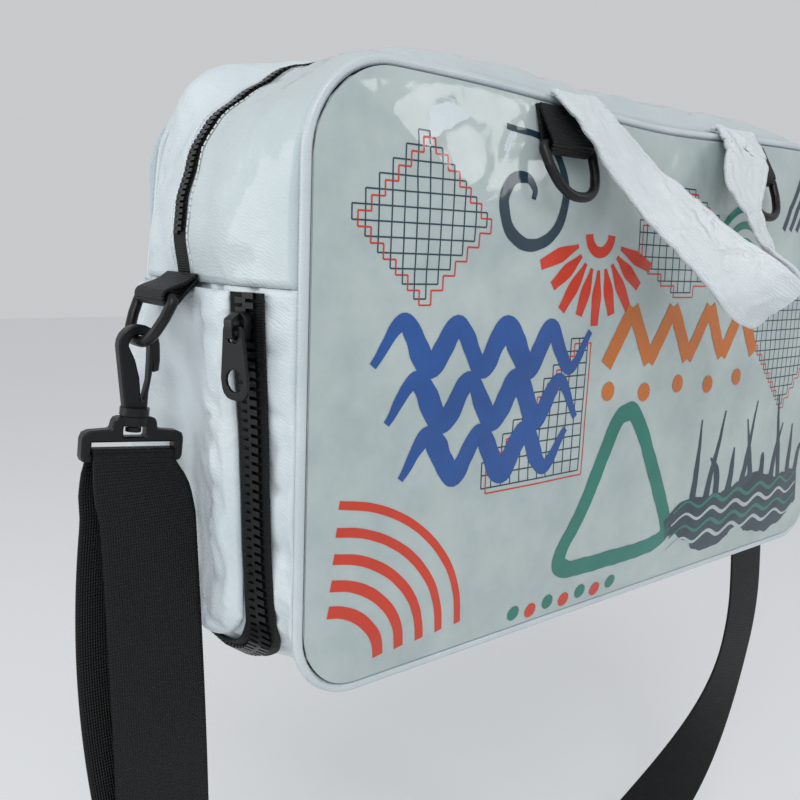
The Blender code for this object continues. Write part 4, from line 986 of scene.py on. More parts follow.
@dataclass
class Bands:
    """The bands between the two pipings: cloth with pressed-in creases."""

    step: float = 0.0042
    across: int = 30
    soft: float = 0.0017
    soft_size: float = 0.030
    sharp: float = 0.0026
    sharp_size: float = 0.034
    slanted: float = 0.0019
    slanted_size: float = 0.026
    edge_hold: float = 0.008
    seam_play: float = 0.002
    stitch_aside: float = 0.0105
    stitch_pitch: float = 0.0034
    stitch_lift: float = 0.00025
    stitch: tuple = (0.0024, 0.0006, 0.0005)

    def folds(self, point: Vector, glossy: bool) -> float:
        """Height of the cloth's creases at a place."""
        x, y, z = point
        soft = ripple(x, y, z, self.soft_size) * self.soft
        if glossy:
            slant = crease(x * 0.6 + y, z * 0.3, y * 0.8 - x * 0.3, self.slanted_size, 8.0)
            return soft * 0.9 - self.slanted * slant
        return soft - self.sharp * crease(x * 0.8, y * 1.2 + z * 0.5, z - y * 0.4, self.sharp_size, 9.0)

    def band(
        self, name: str, stations: Sequence[float], shares: Sequence[float], glossy: bool = False,
    ) -> Piece:
        """A band from the left side round to the right one.

        Args:
            name: the piece's name.
            stations: its places on the left, up to the middle of the top or the underside.
            shares: places over the depth.
            glossy: whether it has the film's slanted wrinkles.

        Returns:
            The new object.
        """
        down = stations[0] > stations[-1]
        left = [(s, Side.LEFT) for s in stations]
        rows = []
        for station, side in left + [(s, Side.RIGHT) for s, _ in reversed(left[:-1])]:
            row = []
            for share in shares:
                point = SKIN.point(station, share, 0.0, side)
                near = min(share - shares[0], shares[-1] - share) * CUT.depth
                hold = ease(near / self.edge_hold) * (1.0 if down else ease((station - SEAM) / 0.15))
                lift = self.folds(point, glossy) * hold
                row.append(point + outward(SKIN.rim(station, share)[1], side) * lift)
            rows.append(row)
        if down:
            rows.reverse()
        return grid(name, rows, CUT.cloth)

    def build(self) -> None:
        """Two top bands beside the main zip, the band under the seams, piping and stitches."""
        edge = CUT.inset / CUT.depth
        zip_edge = 0.5 - (CUT.zip_width / 2 + CUT.gap) / CUT.depth
        half = self.across // 2
        front = [lerp(edge, zip_edge, k / half) for k in range(half + 1)]
        back = [1.0 - share for share in reversed(front)]
        full = [lerp(edge, 1.0 - edge, k / (2 * half + 6)) for k in range(2 * half + 7)]
        upper = SKIN.stations(SEAM + self.seam_play, TOP, self.step)
        lower = SKIN.stations(0.0, SEAM - self.seam_play / 2, self.step)[::-1]
        for name, finish, stations, shares, glossy in (
            ("top_band_front", Finishes.top, upper, front, True),
            ("top_band_back", Finishes.white, upper, back, False),
            ("lower_band", Finishes.white, lower, full, False),
        ):
            dress(self.band(f"{name}_cloth", stations, shares, glossy), finish, replaces=[name])
        self.piping()
        self.stitches()

    def piping(self) -> None:
        """Piping all round the front and the back."""
        for face in Face:
            name = f"{face.name.lower()}_piping"
            left = []
            for station in SKIN.stations(0.0, TOP, 0.005):
                flat, _ = SKIN.rim(station, 0.5 + 0.5 * face)
                left.append(Vector((flat.x, face * CUT.half_depth, flat.y)))
            points = left + [mirrored(p) for p in reversed(left[1:-1])]
            dress(tube(f"{name}_cord", points, CUT.piping, 14), Finishes.piping, replaces=[name])

    def stitches(self) -> None:
        """Lines of stitching beside the main zip."""
        spots = []
        for aside in (-self.stitch_aside, self.stitch_aside):
            share = 0.5 + aside / CUT.depth
            for side in Side:
                points, outs = [], []
                for station in SKIN.stations(3.12, TOP, 0.005):
                    out = outward(SKIN.rim(station, share)[1], side)
                    point = SKIN.point(station, share, 0.0, side)
                    points.append(point + out * (self.folds(point, aside < 0) + self.stitch_lift))
                    outs.append(out)
                spots += along_path(points, outs, self.stitch_pitch)
        Repeat("zip_stitches", spots, self.stitch, Finishes.thread).build()


@dataclass
class Zips:
    """The main zip over the top and the pocket's zip down the side, with moulded teeth."""

    tape: float = 0.0012
    teeth: float = 0.0016
    main_pitch: float = 0.0030
    main_reach: float = 0.0052
    pocket_pitch: float = 0.0046
    pocket_reach: float = 0.0068
    pocket_width: float = 0.021
    slider_edge: float = 0.0005
    puller_edge: float = 0.0004
    inset: float = 0.0285

    def path(self) -> list[Vector]:
        """Middle of the pocket's zip, as stations and depth shares."""
        inset = self.inset / CUT.depth
        rows = (
            (2.985, 0.0), (2.60, 0.0), (2.25, 0.0), (2.00, 0.0), (1.84, 0.014),
            (1.70, 0.050), (1.58, 0.120), (1.52, 0.220), (1.50, 0.420),
        )
        return [Vector((s, inset + d)) for s, d in rows] + [Vector((1.50, 0.93))]

    def flat_tape(self, name: str, spots: Spots, width: float) -> None:
        """A flat tape in place of a CAD node.

        Args:
            name: the CAD node's name.
            spots: points of its middle line, with their across and outward directions.
            width: its width.
        """
        shares = (-0.5, -0.47, -0.25, 0.0, 0.25, 0.47, 0.5)
        rows = [[p + a * width * s + o * self.tape for s in shares] for p, a, o in spots]
        dress(grid(f"{name}_tape", rows, self.tape), Finishes.tape, replaces=[name])

    def closed_teeth(self, name: str, spots: Spots, pitch: float, reach: float, height: float) -> None:
        """Two rows of teeth that interlock along the middle line.

        Args:
            name: the piece's name.
            spots: points with their across and outward directions.
            pitch: distance between the teeth of one row.
            reach: length of a tooth across the zip.
            height: how high the teeth stand.
        """
        placed = []
        for side, start in ((-1, 0.25), (1, 0.75)):
            points = [p + o * (self.tape + height * 0.45) for p, _, o in spots]
            outs = [o for _, _, o in spots]
            placed += along_path(points, outs, pitch, side * reach * 0.36, start)
        Repeat(name, placed, (pitch * 0.62, reach, height), Finishes.teeth).build()

    def main(self) -> None:
        """The zip from seam to seam over the top."""
        stations = [(s, Side.LEFT) for s in SKIN.stations(3.01, TOP, 0.004)]
        spots = []
        for station, side in stations + [(s, Side.RIGHT) for s, _ in reversed(stations[:-1])]:
            point = SKIN.point(station, 0.5, -self.tape - 0.0002, side)
            spots.append((point, DEEP, outward(SKIN.rim(station, 0.5)[1], side)))
        self.flat_tape("main_zip", spots, CUT.zip_width)
        self.closed_teeth("main_zip_teeth", spots[6:-6], self.main_pitch, self.main_reach, self.teeth)

    def pocket(self, count: int = 110) -> None:
        """The pocket's zip, down the side and back under the pocket."""
        path = self.path()
        spots = []
        for k in range(count + 1):
            here = spline_point(path, k / count)
            ahead = spline_point(path, min(1.0, k / count + 0.01))
            behind = spline_point(path, max(0.0, k / count - 0.01))
            along = (SKIN.point(*ahead) - SKIN.point(*behind)).normalized()
            out = SKIN.out(*here)
            if out.x > 0.0 and here.x > 1.6:
                out = -out
            spots.append((SKIN.point(*here) + out * (3 * CUT.gap), out.cross(along).normalized(), out))
        self.flat_tape("pocket_zip", spots, self.pocket_width)
        height = self.teeth + 0.0003
        self.closed_teeth("pocket_zip_teeth", spots, self.pocket_pitch, self.pocket_reach, height)

    def build(self) -> None:
        """Both zips, their sliders and the puller."""
        self.main()
        self.pocket()
        for node in ("main_zip_slider", "pocket_slider"):
            dress(polished(node, self.slider_edge), Finishes.plastic)
        dress(polished("pocket_puller", self.puller_edge), Finishes.plastic, "pocket_puller")


@dataclass
class Pocket:
    """The puffed end pocket behind its zip."""

    back_margin: float = 0.007
    puff: float = 0.021
    soft: float = 0.0022
    net: float = 0.0030
    soft_size: float = 0.022
    net_sizes: tuple = (0.036, 0.030)
    across: int = 46
    up: int = 60
    section: tuple = (
        (0.00, 0.00), (0.06, 0.26), (0.14, 0.34), (0.23, 0.10), (0.32, 0.00), (0.46, 0.03),
        (0.58, 0.52), (0.72, 1.00), (0.85, 0.86), (0.94, 0.50), (1.00, 0.00),
    )
    fold_lines: tuple = (
        (0.56, 1.00, 0.74, 0.45, 0.09, 0.16), (0.80, 0.30, 0.95, 0.75, 0.08, 0.12),
        (0.06, 0.62, 0.28, 0.40, 0.09, 0.10),
    )
    zips: Zips = field(default_factory=Zips)

    def fold(self, across: float, up: float) -> float:
        """Depth of the big folds.

        Args:
            across: share of the way from the zip to the back.
            up: share of the way from the foot to the seam.

        Returns:
            The depth, as a share of the puff.
        """
        depth = 0.0
        here = Vector((across, up))
        for x0, y0, x1, y1, width, amount in self.fold_lines:
            start = Vector((x0, y0))
            run = Vector((x1, y1)) - start
            share = max(0.0, min(1.0, (here - start).dot(run) / run.length_squared))
            away = (here - (start + run * share)).length / width
            full = math.sin(math.pi * max(0.06, min(0.94, share)))
            depth += amount * full * math.exp(-away * away)
        return depth

    def zip_edge(self, count: int = 160) -> list[tuple[float, float]]:
        """Inner edge of the zip, as stations and depth shares."""
        flat = [Vector((SKIN.arc_length(s.x), s.y * CUT.depth)) for s in self.zips.path()]
        corner = 0.5 * math.pi * CUT.bottom_radius
        straight = CUT.seam - CUT.base_drop - CUT.bottom_radius
        edge = []
        for k in range(count + 1):
            along = spline_run(flat, k / count, 0.01).normalized()
            aside = Vector((along.y, -along.x)) * (self.zips.pocket_width / 2 + 2 * CUT.gap)
            inner = spline_point(flat, k / count) + aside
            beyond = inner.x - SKIN.arc_length(1.99999)
            stretch = straight if beyond > 0.0 else corner
            edge.append((2.0 + beyond / stretch, inner.y / CUT.depth))
        return edge

    def front_share(self, station: float, edge: list[tuple[float, float]]) -> float:
        """Depth share of the pocket's front edge.

        Args:
            station: place up the side.
            edge: the zip's inner edge, from above.

        Returns:
            The depth share there.
        """
        for (upper, share), (lower, next_share) in zip(edge, edge[1:]):
            if lower <= station <= upper and upper > lower:
                return lerp(share, next_share, (upper - station) / (upper - lower))
        return edge[0][1] if station > edge[0][0] else edge[len(edge) // 2][1]

    def build(self) -> None:
        """The pocket's wall, with a net of creases over its puff."""
        edge = self.zip_edge()
        back = 1.0 - (CUT.inset + self.back_margin) / CUT.depth
        rows = []
        for i in range(self.up + 1):
            up = i / self.up
            station = lerp(edge[-1][0] + 0.015, 2.985, up)
            front = self.front_share(station, edge)
            rise = math.sin(math.pi * up) ** 0.45 if 0.0 < up < 1.0 else 0.0
            row = []
            for j in range(self.across + 1):
                across = j / self.across
                puff = table_value(self.section, across) * rise * (1.0 - self.fold(across, up))
                share = lerp(front, back, across)
                base = SKIN.point(station, share)
                hold = ease(min(across, 1.0 - across) / 0.12) * ease(min(up, 1.0 - up) / 0.08)
                soft = self.soft * ripple(base.x, base.y, base.z, self.soft_size)
                wide, fine = self.net_sizes
                net = crease(base.y * 1.1 + base.z * 0.6, 3.0, base.z - base.y * 0.7, wide, 8.0)
                net = max(net, crease(base.y * 0.8 - base.z * 0.7, 8.0, base.z * 1.1, fine, 11.0))
                lift = 3 * CUT.gap + CUT.cloth + self.puff * max(0.0, puff)
                lift += (soft - self.net * net) * hold
                row.append(SKIN.point(station, share, max(CUT.cloth + CUT.gap, lift)))
            rows.append(row)
        dress(grid("pocket_cloth", rows, CUT.cloth), Finishes.white, replaces=["pocket_panel"])


def ribbon(path: Sequence[Vector], count: int, across: Vector, width: float) -> Rows:
    """Rows of a folded piece of webbing.

    Args:
        path: points of its middle line.
        count: steps along it.
        across: direction of its width.
        width: its width.

    Returns:
        Rows of 17 points.
    """
    points = [spline_point(path, k / count) for k in range(count + 1)]
    return [[p + across * (width / 2 * (j / 8 - 1.0)) for j in range(17)] for p in points]


@dataclass(frozen=True)
class SideFittings:
    """Places of the side ring, hook and hook base, which carry the strap."""

    reach: float = 0.015
    drop: float = 0.008
    wire: float = 0.0056
    ring_height: float = 0.025
    lean: float = math.radians(25.0)
    eye: float = 0.0054
    shift: float = 0.0021
    hook_length: float = 0.033
    collar: float = 0.0033
    tilt: float = math.radians(5.4)
    base: float = 0.007
    slot_drop: float = 0.0130
    slot: float = 0.0060
    bar: float = 0.0044
    tab: float = 0.036
    play: float = 0.0022

    def ring_bar(self, side: int) -> Vector:
        """Middle of the ring's straight bar."""
        return SKIN.point(3.0, 0.5, side=side) + Vector((side * self.reach, 0.0, -self.drop))

    def up(self, side: int) -> Vector:
        """Upward direction of the tilted hook base."""
        return Vector((-side * math.sin(self.tilt), 0.0, math.cos(self.tilt)))

    def hang(self, side: int) -> Vector:
        """Direction in which the ring hangs."""
        return Vector((side * math.sin(self.lean), 0.0, -math.cos(self.lean)))

    def slot_bar(self, side: int) -> Vector:
        """Middle of the bar that the strap is folded over."""
        hang = self.hang(side) * self.ring_height
        slack = self.eye - self.wire / 2 - CUT.gap
        root = self.ring_bar(side) + hang + Vector((side * self.shift, 0.0, -slack - self.hook_length))
        return root - self.up(side) * (self.collar + self.slot_drop + self.slot + self.bar / 2)

    def tab_rows(self, side: int) -> Rows:
        """Webbing folded over the ring's bar, both ends in the side seam."""
        bar = self.ring_bar(side)
        root = SKIN.point(3.0, 0.5, side=side) + Vector((side * 0.0012, 0.0, 0.0))
        wrap = self.wire / 2 + 2 * CUT.gap + CUT.webbing / 2
        ply = CUT.webbing / 2 + CUT.gap
        upper = root + Vector((0.0, 0.0, 3 * ply + 0.0002))
        lower = root + Vector((0.0, 0.0, ply - 0.0002))
        path = [upper, root.lerp(bar, 0.45) + Vector((0.0, 0.0, wrap * 0.70))]
        for degrees in (75, 35, 0, -35, -70, -105, -140):
            angle = math.radians(degrees)
            path.append(bar + Vector((side * math.cos(angle), 0.0, math.sin(angle))) * wrap)
        path += [lower.lerp(bar, 0.40) + Vector((0.0, 0.0, -wrap * 0.55)), lower]
        return ribbon(path, 60, DEEP, self.tab)


@dataclass
class Strap:
    """The long strap: doubled at the left hook, hanging in a loop, sewn back at the right."""

    length: float = 1.260
    width: float = 0.0505
    pinched: float = 0.0422
    pinch: float = 0.018
    lean: float = math.radians(0.2)
    straight: float = 0.30
    forward: float = 0.030
    drift: float = 0.0058
    doubled: float = 0.250
    tail: float = 0.022
    sewn: float = 0.045
    slack: float = 0.0060
    skew: float = 0.0120
    hook_edge: float = 0.0009
    keeper_edge: float = 0.0006
    fit: SideFittings = SideFittings()

    def angle(self, share: float, power: float) -> float:
        """The strap's lean from the vertical.

        Args:
            share: share of the way from a hook to the lowest point.
            power: how late the strap turns level.

        Returns:
            The angle in radians.
        """
        curved = max(0.0, (share - self.straight) / (1.0 - self.straight))
        return lerp(self.lean, math.pi / 2, curved**power)

    def power(self) -> float:
        """Power that makes the strap reach from hook to hook."""
        low, high = 0.3, 12.0
        for _ in range(40):
            power = (low + high) / 2
            total = sum(math.sin(self.angle((k + 0.5) / 200, power)) for k in range(200))
            if total * self.length / 400 > abs(self.fit.slot_bar(Side.LEFT).x):
                low = power
            else:
                high = power
        return (low + high) / 2

    def ply(self) -> float:
        """How far a ply's middle lies from the hook base's middle plane."""
        return self.fit.base / 2 + 3 * CUT.gap + CUT.webbing / 2

    def run(self, count: int) -> list[tuple[float, Vector, Vector]]:
        """The hanging left half, from the hook to the lowest point.

        Args:
            count: steps along it.

        Returns:
            Share, point and tangent at each step.
        """
        power = self.power()
        bar = self.fit.slot_bar(Side.LEFT)
        fine = 20
        step = self.length / 2 / (count * fine)
        x, z = bar.x, bar.z
        found = []
        for k in range(count * fine + 1):
            share = k / (count * fine)
            if k % fine == 0:
                angle = self.angle(share, power)
                y = -self.ply() * (1.0 - share) ** 2
                y -= self.forward * math.sin(math.pi * share) * (1.0 - share**3)
                drift = self.drift * min(1.0, share * self.length / 2 / 0.032) ** 0.8
                tangent = Vector((math.sin(angle), 0.0, -math.cos(angle)))
                found.append((share, Vector((x + drift * (1.0 - share), y, z)), tangent))
            middle = self.angle(share + 0.5 / (count * fine), power)
            x += math.sin(middle) * step
            z -= math.cos(middle) * step
        shift = found[-1][1].x
        return [(s, p - Vector((shift * s, 0.0, 0.0)), t) for s, p, t in found]

    def across(self, share: float, tangent: Vector) -> Vector:
        """Direction across the strap, which turns from X at the hook to Y at the bottom.

        Args:
            share: share of the way from a hook to the lowest point.
            tangent: direction of the strap there.

        Returns:
            The direction.
        """
        doubled = self.doubled / (self.length / 2)
        twist = 0.5 * math.pi * ease((share - doubled) / (0.92 - doubled))
        flat = Vector((-tangent.z, 0.0, tangent.x))
        return flat * math.cos(twist) + DEEP * math.sin(twist)

    def wide(self, length: float) -> float:
        """Width at a length from the slot, which squeezes the webbing."""
        return lerp(self.pinched, self.width, min(1.0, length / self.pinch) ** 0.7)

    def fold(self, side: int, count: int = 16) -> list[Vector]:
        """The strap's fold over a slot bar.

        Args:
            side: half of the bag.
            count: steps over the bar.

        Returns:
            Points from the back ply to the front one.
        """
        bar = self.fit.slot_bar(side)
        rise = self.fit.bar / 2 + 4 * CUT.gap + CUT.webbing / 2
        points = []
        for k in range(count + 1):
            angle = math.pi * k / count
            squared = abs(math.cos(angle)) ** 0.5 * math.copysign(1.0, math.cos(angle))
            lift = self.fit.up(side) * rise * max(0.0, math.sin(angle)) ** 0.5
            points.append(bar + Vector((0.0, self.ply() * squared, 0.0)) + lift)
        return points

    def return_ply(self, length: float, slack: float, skew: float, count: int) -> list[tuple[float, Vector]]:
        """The back ply, from its end up to the bar.

        Args:
            length: how far it comes down.
            slack: how far it bellies out to the back.
            skew: how far it bellies out to the side.
            count: number of points.

        Returns:
            Share and point of each step.
        """
        run = self.run(120)
        half = self.length / 2
        near = CUT.webbing + 4 * CUT.gap
        points = []
        for k in range(count):
            share = lerp(length / half, 0.012, k / (count - 1))
            index = min(int(share * 120), 119)
            front = run[index][1].lerp(run[index + 1][1], share * 120 - index)
            down = min(1.0, share * half / length / 0.86)
            belly = math.sin(math.pi * down) ** 0.8 if down < 1.0 else 0.0
            behind = lerp(2 * self.ply(), near, down**1.3) + slack * belly
            behind += 0.0016 * max(0.0, 1.0 - share * half / 0.030)
            points.append((share, front + Vector((-skew * belly, behind, 0.0))))
        return points

    def stations(self) -> list[tuple[Vector, Vector, float]]:
        """Points along the whole strap with their across directions and widths."""
        half = self.length / 2
        tilt = self.fit.tilt
        skewed = Vector((math.cos(tilt), 0.0, -math.sin(tilt)))
        unskewed = Vector((skewed.x, 0.0, -skewed.z))
        hanging = []
        for share, point, tangent in self.run(120)[2:]:
            level = 1.0 - min(1.0, share * half / self.pinch)
            across = self.across(share, tangent).lerp(skewed, level).normalized()
            hanging.append((point, across, self.wide(share * half)))
        back = self.return_ply(self.doubled + self.tail, self.slack, self.skew, 48)
        found = [(p, ACROSS, self.wide(s * half)) for s, p in back]
        found += [(p, skewed, self.pinched) for p in self.fold(Side.LEFT)] + hanging
        found += [(mirrored(p), -mirrored(across), width) for p, across, width in reversed(hanging[:-1])]
        found += [(p, unskewed, self.pinched) for p in reversed(self.fold(Side.RIGHT))]
        for share, point in reversed(self.return_ply(self.sewn, 0.0, 0.0, 12)):
            found.append((mirrored(point), ACROSS, self.wide(share * half)))
        even = [found[0]]
        for point, across, width in found[1:]:
            even.append((point, across if across.dot(even[-1][1]) > 0.0 else -across, width))
        return even

    def build(self) -> None:
        """The strap, and on each side the tab, ring, hook and hook base."""
        fit = self.fit
        rows = []
        for point, across, width in self.stations():
            rows.append([point + across * width * (j / 20 - 0.5) for j in range(21)])
        made = grid("strap_webbing", rows, CUT.webbing, 0.0)
        dress(made, Finishes.webbing, replaces=["shoulder_strap"])
        ring = DRing(fit.tab + fit.wire + fit.play, fit.ring_height, 0.62, 0.014, fit.wire)
        for side in Side:
            name = side.name.lower()
            tab = grid(f"{name}_tab_webbing", fit.tab_rows(side), CUT.webbing, 0.0)
            dress(tab, Finishes.webbing, replaces=[f"{name}_tab"])
            ring.build(f"{name}_ring", fit.ring_bar(side), DEEP, fit.hang(side))
            for node in (f"{name}_hook", f"{name}_hook_base"):
                dress(polished(node, self.hook_edge), Finishes.plastic)
        dress(polished("strap_keeper", self.keeper_edge), Finishes.plastic)


@dataclass
class Handles:
    """Soft band handles, their stitching, and the front tabs with their rings."""

    width: float = 0.038
    thick: float = 0.0024
    spread: float = 0.164
    drop: float = 0.108
    stand: float = 0.088
    tab_width: float = 0.032
    tab_place: float = 0.154
    tab_drop: float = 0.028
    tab_stand: float = 0.0018
    wire: float = 0.0054
    play: float = 0.0022
    ring_height: float = 0.029
    ring_lean: float = math.radians(24.0)
    soft: float = 0.0010
    soft_size: float = 0.014
    dip: float = 0.0013
    dip_size: float = 0.012
    stitch_pitch: float = 0.0036
    stitch: tuple = (0.0025, 0.0006, 0.0005)
    path: tuple = (
        (0.00, -0.006, -0.0108, 1.00, 0.00, 0.00), (0.01, 0.045, -0.0010, 1.00, 0.00, 0.00),
        (0.04, 0.125, 0.0700, 0.98, -0.12, 0.05), (0.14, 0.225, 0.2000, 0.93, -0.18, 0.24),
        (0.35, 0.330, 0.3800, 0.89, -0.14, 0.38), (0.52, 0.560, 0.5900, 0.86, -0.02, 0.51),
        (0.71, 0.770, 0.7850, 0.78, 0.10, 0.60), (0.88, 0.930, 0.9350, 0.40, 0.60, 0.66),
        (1.00, 1.000, 1.0000, 0.00, 0.78, 0.63),
    )

    def stations(self, face: int, count: int = 84) -> list[tuple[Vector, Vector]]:
        """The line of a handle, from its left foot over to its right one.

        Args:
            face: the main panel it is sewn to.
            count: steps along its left half.

        Returns:
            Middle points and the directions across the handle.
        """
        middles, across = [], []
        for step, out, down, right, forward, up in self.path:
            x = -self.spread / 2 * (1.0 - step)
            y = CUT.half_depth + self.stand * out
            middles.append(Vector((x, face * y, CUT.height - self.drop * down)))
            across.append(Vector((right, face * forward, up)))
        left = []
        for k in range(count + 1):
            share = k / count
            tangent = spline_run(middles, share, 0.01).normalized()
            wide = spline_point(across, share)
            wide = (wide - tangent * wide.dot(tangent)).normalized()
            left.append((spline_point(middles, share), wide))
        right = [(mirrored(p), mirrored(w)) for p, w in reversed(left[:-1])]
        return left + [(p, -w) if w.dot(left[-1][1]) < 0.0 else (p, w) for p, w in right]

    def handle(self, name: str, face: int) -> None:
        """One handle with creases across it and stitching along both edges.

        Args:
            name: the CAD node's name.
            face: the main panel it is sewn to.
        """
        stations = self.stations(face)
        rows, lines = [], {-1: ([], []), 1: ([], [])}
        columns = 26
        last = len(stations) - 1
        half = self.width / 2
        for k, (point, wide) in enumerate(stations):
            ahead, behind = stations[min(k + 1, last)][0], stations[max(k - 1, 0)][0]
            normal = wide.cross((ahead - behind).normalized()).normalized()
            hold = ease(min(k, last - k) / 24.0)
            row = []
            for j in range(columns + 1):
                s = 2.0 * j / columns - 1.0
                spot = point + wide * half * s
                dip = crease(spot.x * 1.2, spot.y * 0.8 + face, spot.z * 1.2, self.dip_size, 5.0)
                lift = self.soft * ripple(spot.x, spot.y + face, spot.z, self.soft_size) - self.dip * dip
                row.append(spot + normal * lift * hold)
            rows.append(row)
            for edge in (-1, 1):
                spot = row[2 if edge < 0 else columns - 2]
                lines[edge][0].append(spot)
                lines[edge][1].append(normal)
        made = grid(f"{name}_cloth", rows, self.thick, 0.0)
        dress(made, Finishes.handle, replaces=[name])
        spots = []
        for points, outs in lines.values():
            for turn in (-1, 1):
                moved = [p + o * turn * (self.thick / 2 + 0.0001) for p, o in zip(points, outs)]
                spots += along_path(moved[5:-5], [o * turn for o in outs[5:-5]], self.stitch_pitch)
        Repeat(f"{name}_stitches", spots, self.stitch, Finishes.thread).build()

    def tab(self, name: str, side: int) -> None:
        """Webbing loop that holds a front ring.

        Args:
            name: the CAD node's name.
            side: half of the bag.
        """
        bar = self.bar(side)
        x = bar.x
        wrap = self.wire / 2 + 3 * CUT.gap + CUT.webbing / 2
        ply = CUT.webbing / 2
        top = SKIN.top_height(x) - CUT.inset - CUT.gap - 0.001
        root = Vector((x, -CUT.half_depth - self.face(x, top) - CUT.gap - ply, top))
        behind = Vector((0.0, 1.0, 0.3)).normalized() * wrap
        path = [root + Vector((0.0, -0.0002, 0.0))]
        path += [root.lerp(bar + behind, s) + Vector((0.0, -0.0006, 0.0)) for s in (0.35, 0.7)]
        for degrees in (20, -30, -80, -130, -175, -215):
            angle = math.radians(degrees)
            path.append(bar + Vector((0.0, math.cos(angle), math.sin(angle))) * wrap)
        fold = Vector((0.0, -2 * ply - 3 * CUT.gap, 0.0))
        before = bar + Vector((0.0, -math.cos(math.radians(35)), math.sin(math.radians(35)))) * wrap
        path += [(root + fold).lerp(before, s) for s in (0.62, 0.30, 0.0)]
        rows = ribbon(path, 66, ACROSS, self.tab_width)
        made = grid(f"{name}_webbing", rows, CUT.webbing, 0.0)
        dress(made, Finishes.webbing, replaces=[name])

    def bar(self, side: int) -> Vector:
        """Middle of a front ring's straight bar."""
        x, z = side * (CUT.half_length - self.tab_place), CUT.height - self.tab_drop
        wrap = self.wire / 2 + 3 * CUT.gap + CUT.webbing
        return Vector((x, -CUT.half_depth - self.face(x, z) - self.tab_stand - wrap, z))

    def face(self, x: float, z: float) -> float:
        """How far the film stands in front of the outline plane."""
        return CUT.cloth / 2 + CUT.gap + CUT.film + SKIN.face(x, z)

    def build(self) -> None:
        """Both handles, both front tabs and both front rings."""
        for face in Face:
            self.handle(f"{face.name.lower()}_handle", face)
        ring = DRing(self.tab_width + self.wire + self.play, self.ring_height, 0.60, 0.0155, self.wire)
        down = Vector((0.0, -math.sin(self.ring_lean), -math.cos(self.ring_lean)))
        for side in Side:
            name = side.name.lower()
            self.tab(f"front_tab_{name}", side)
            ring.build(f"front_ring_{name}", self.bar(side), ACROSS, down, f"front_ring_{name}")


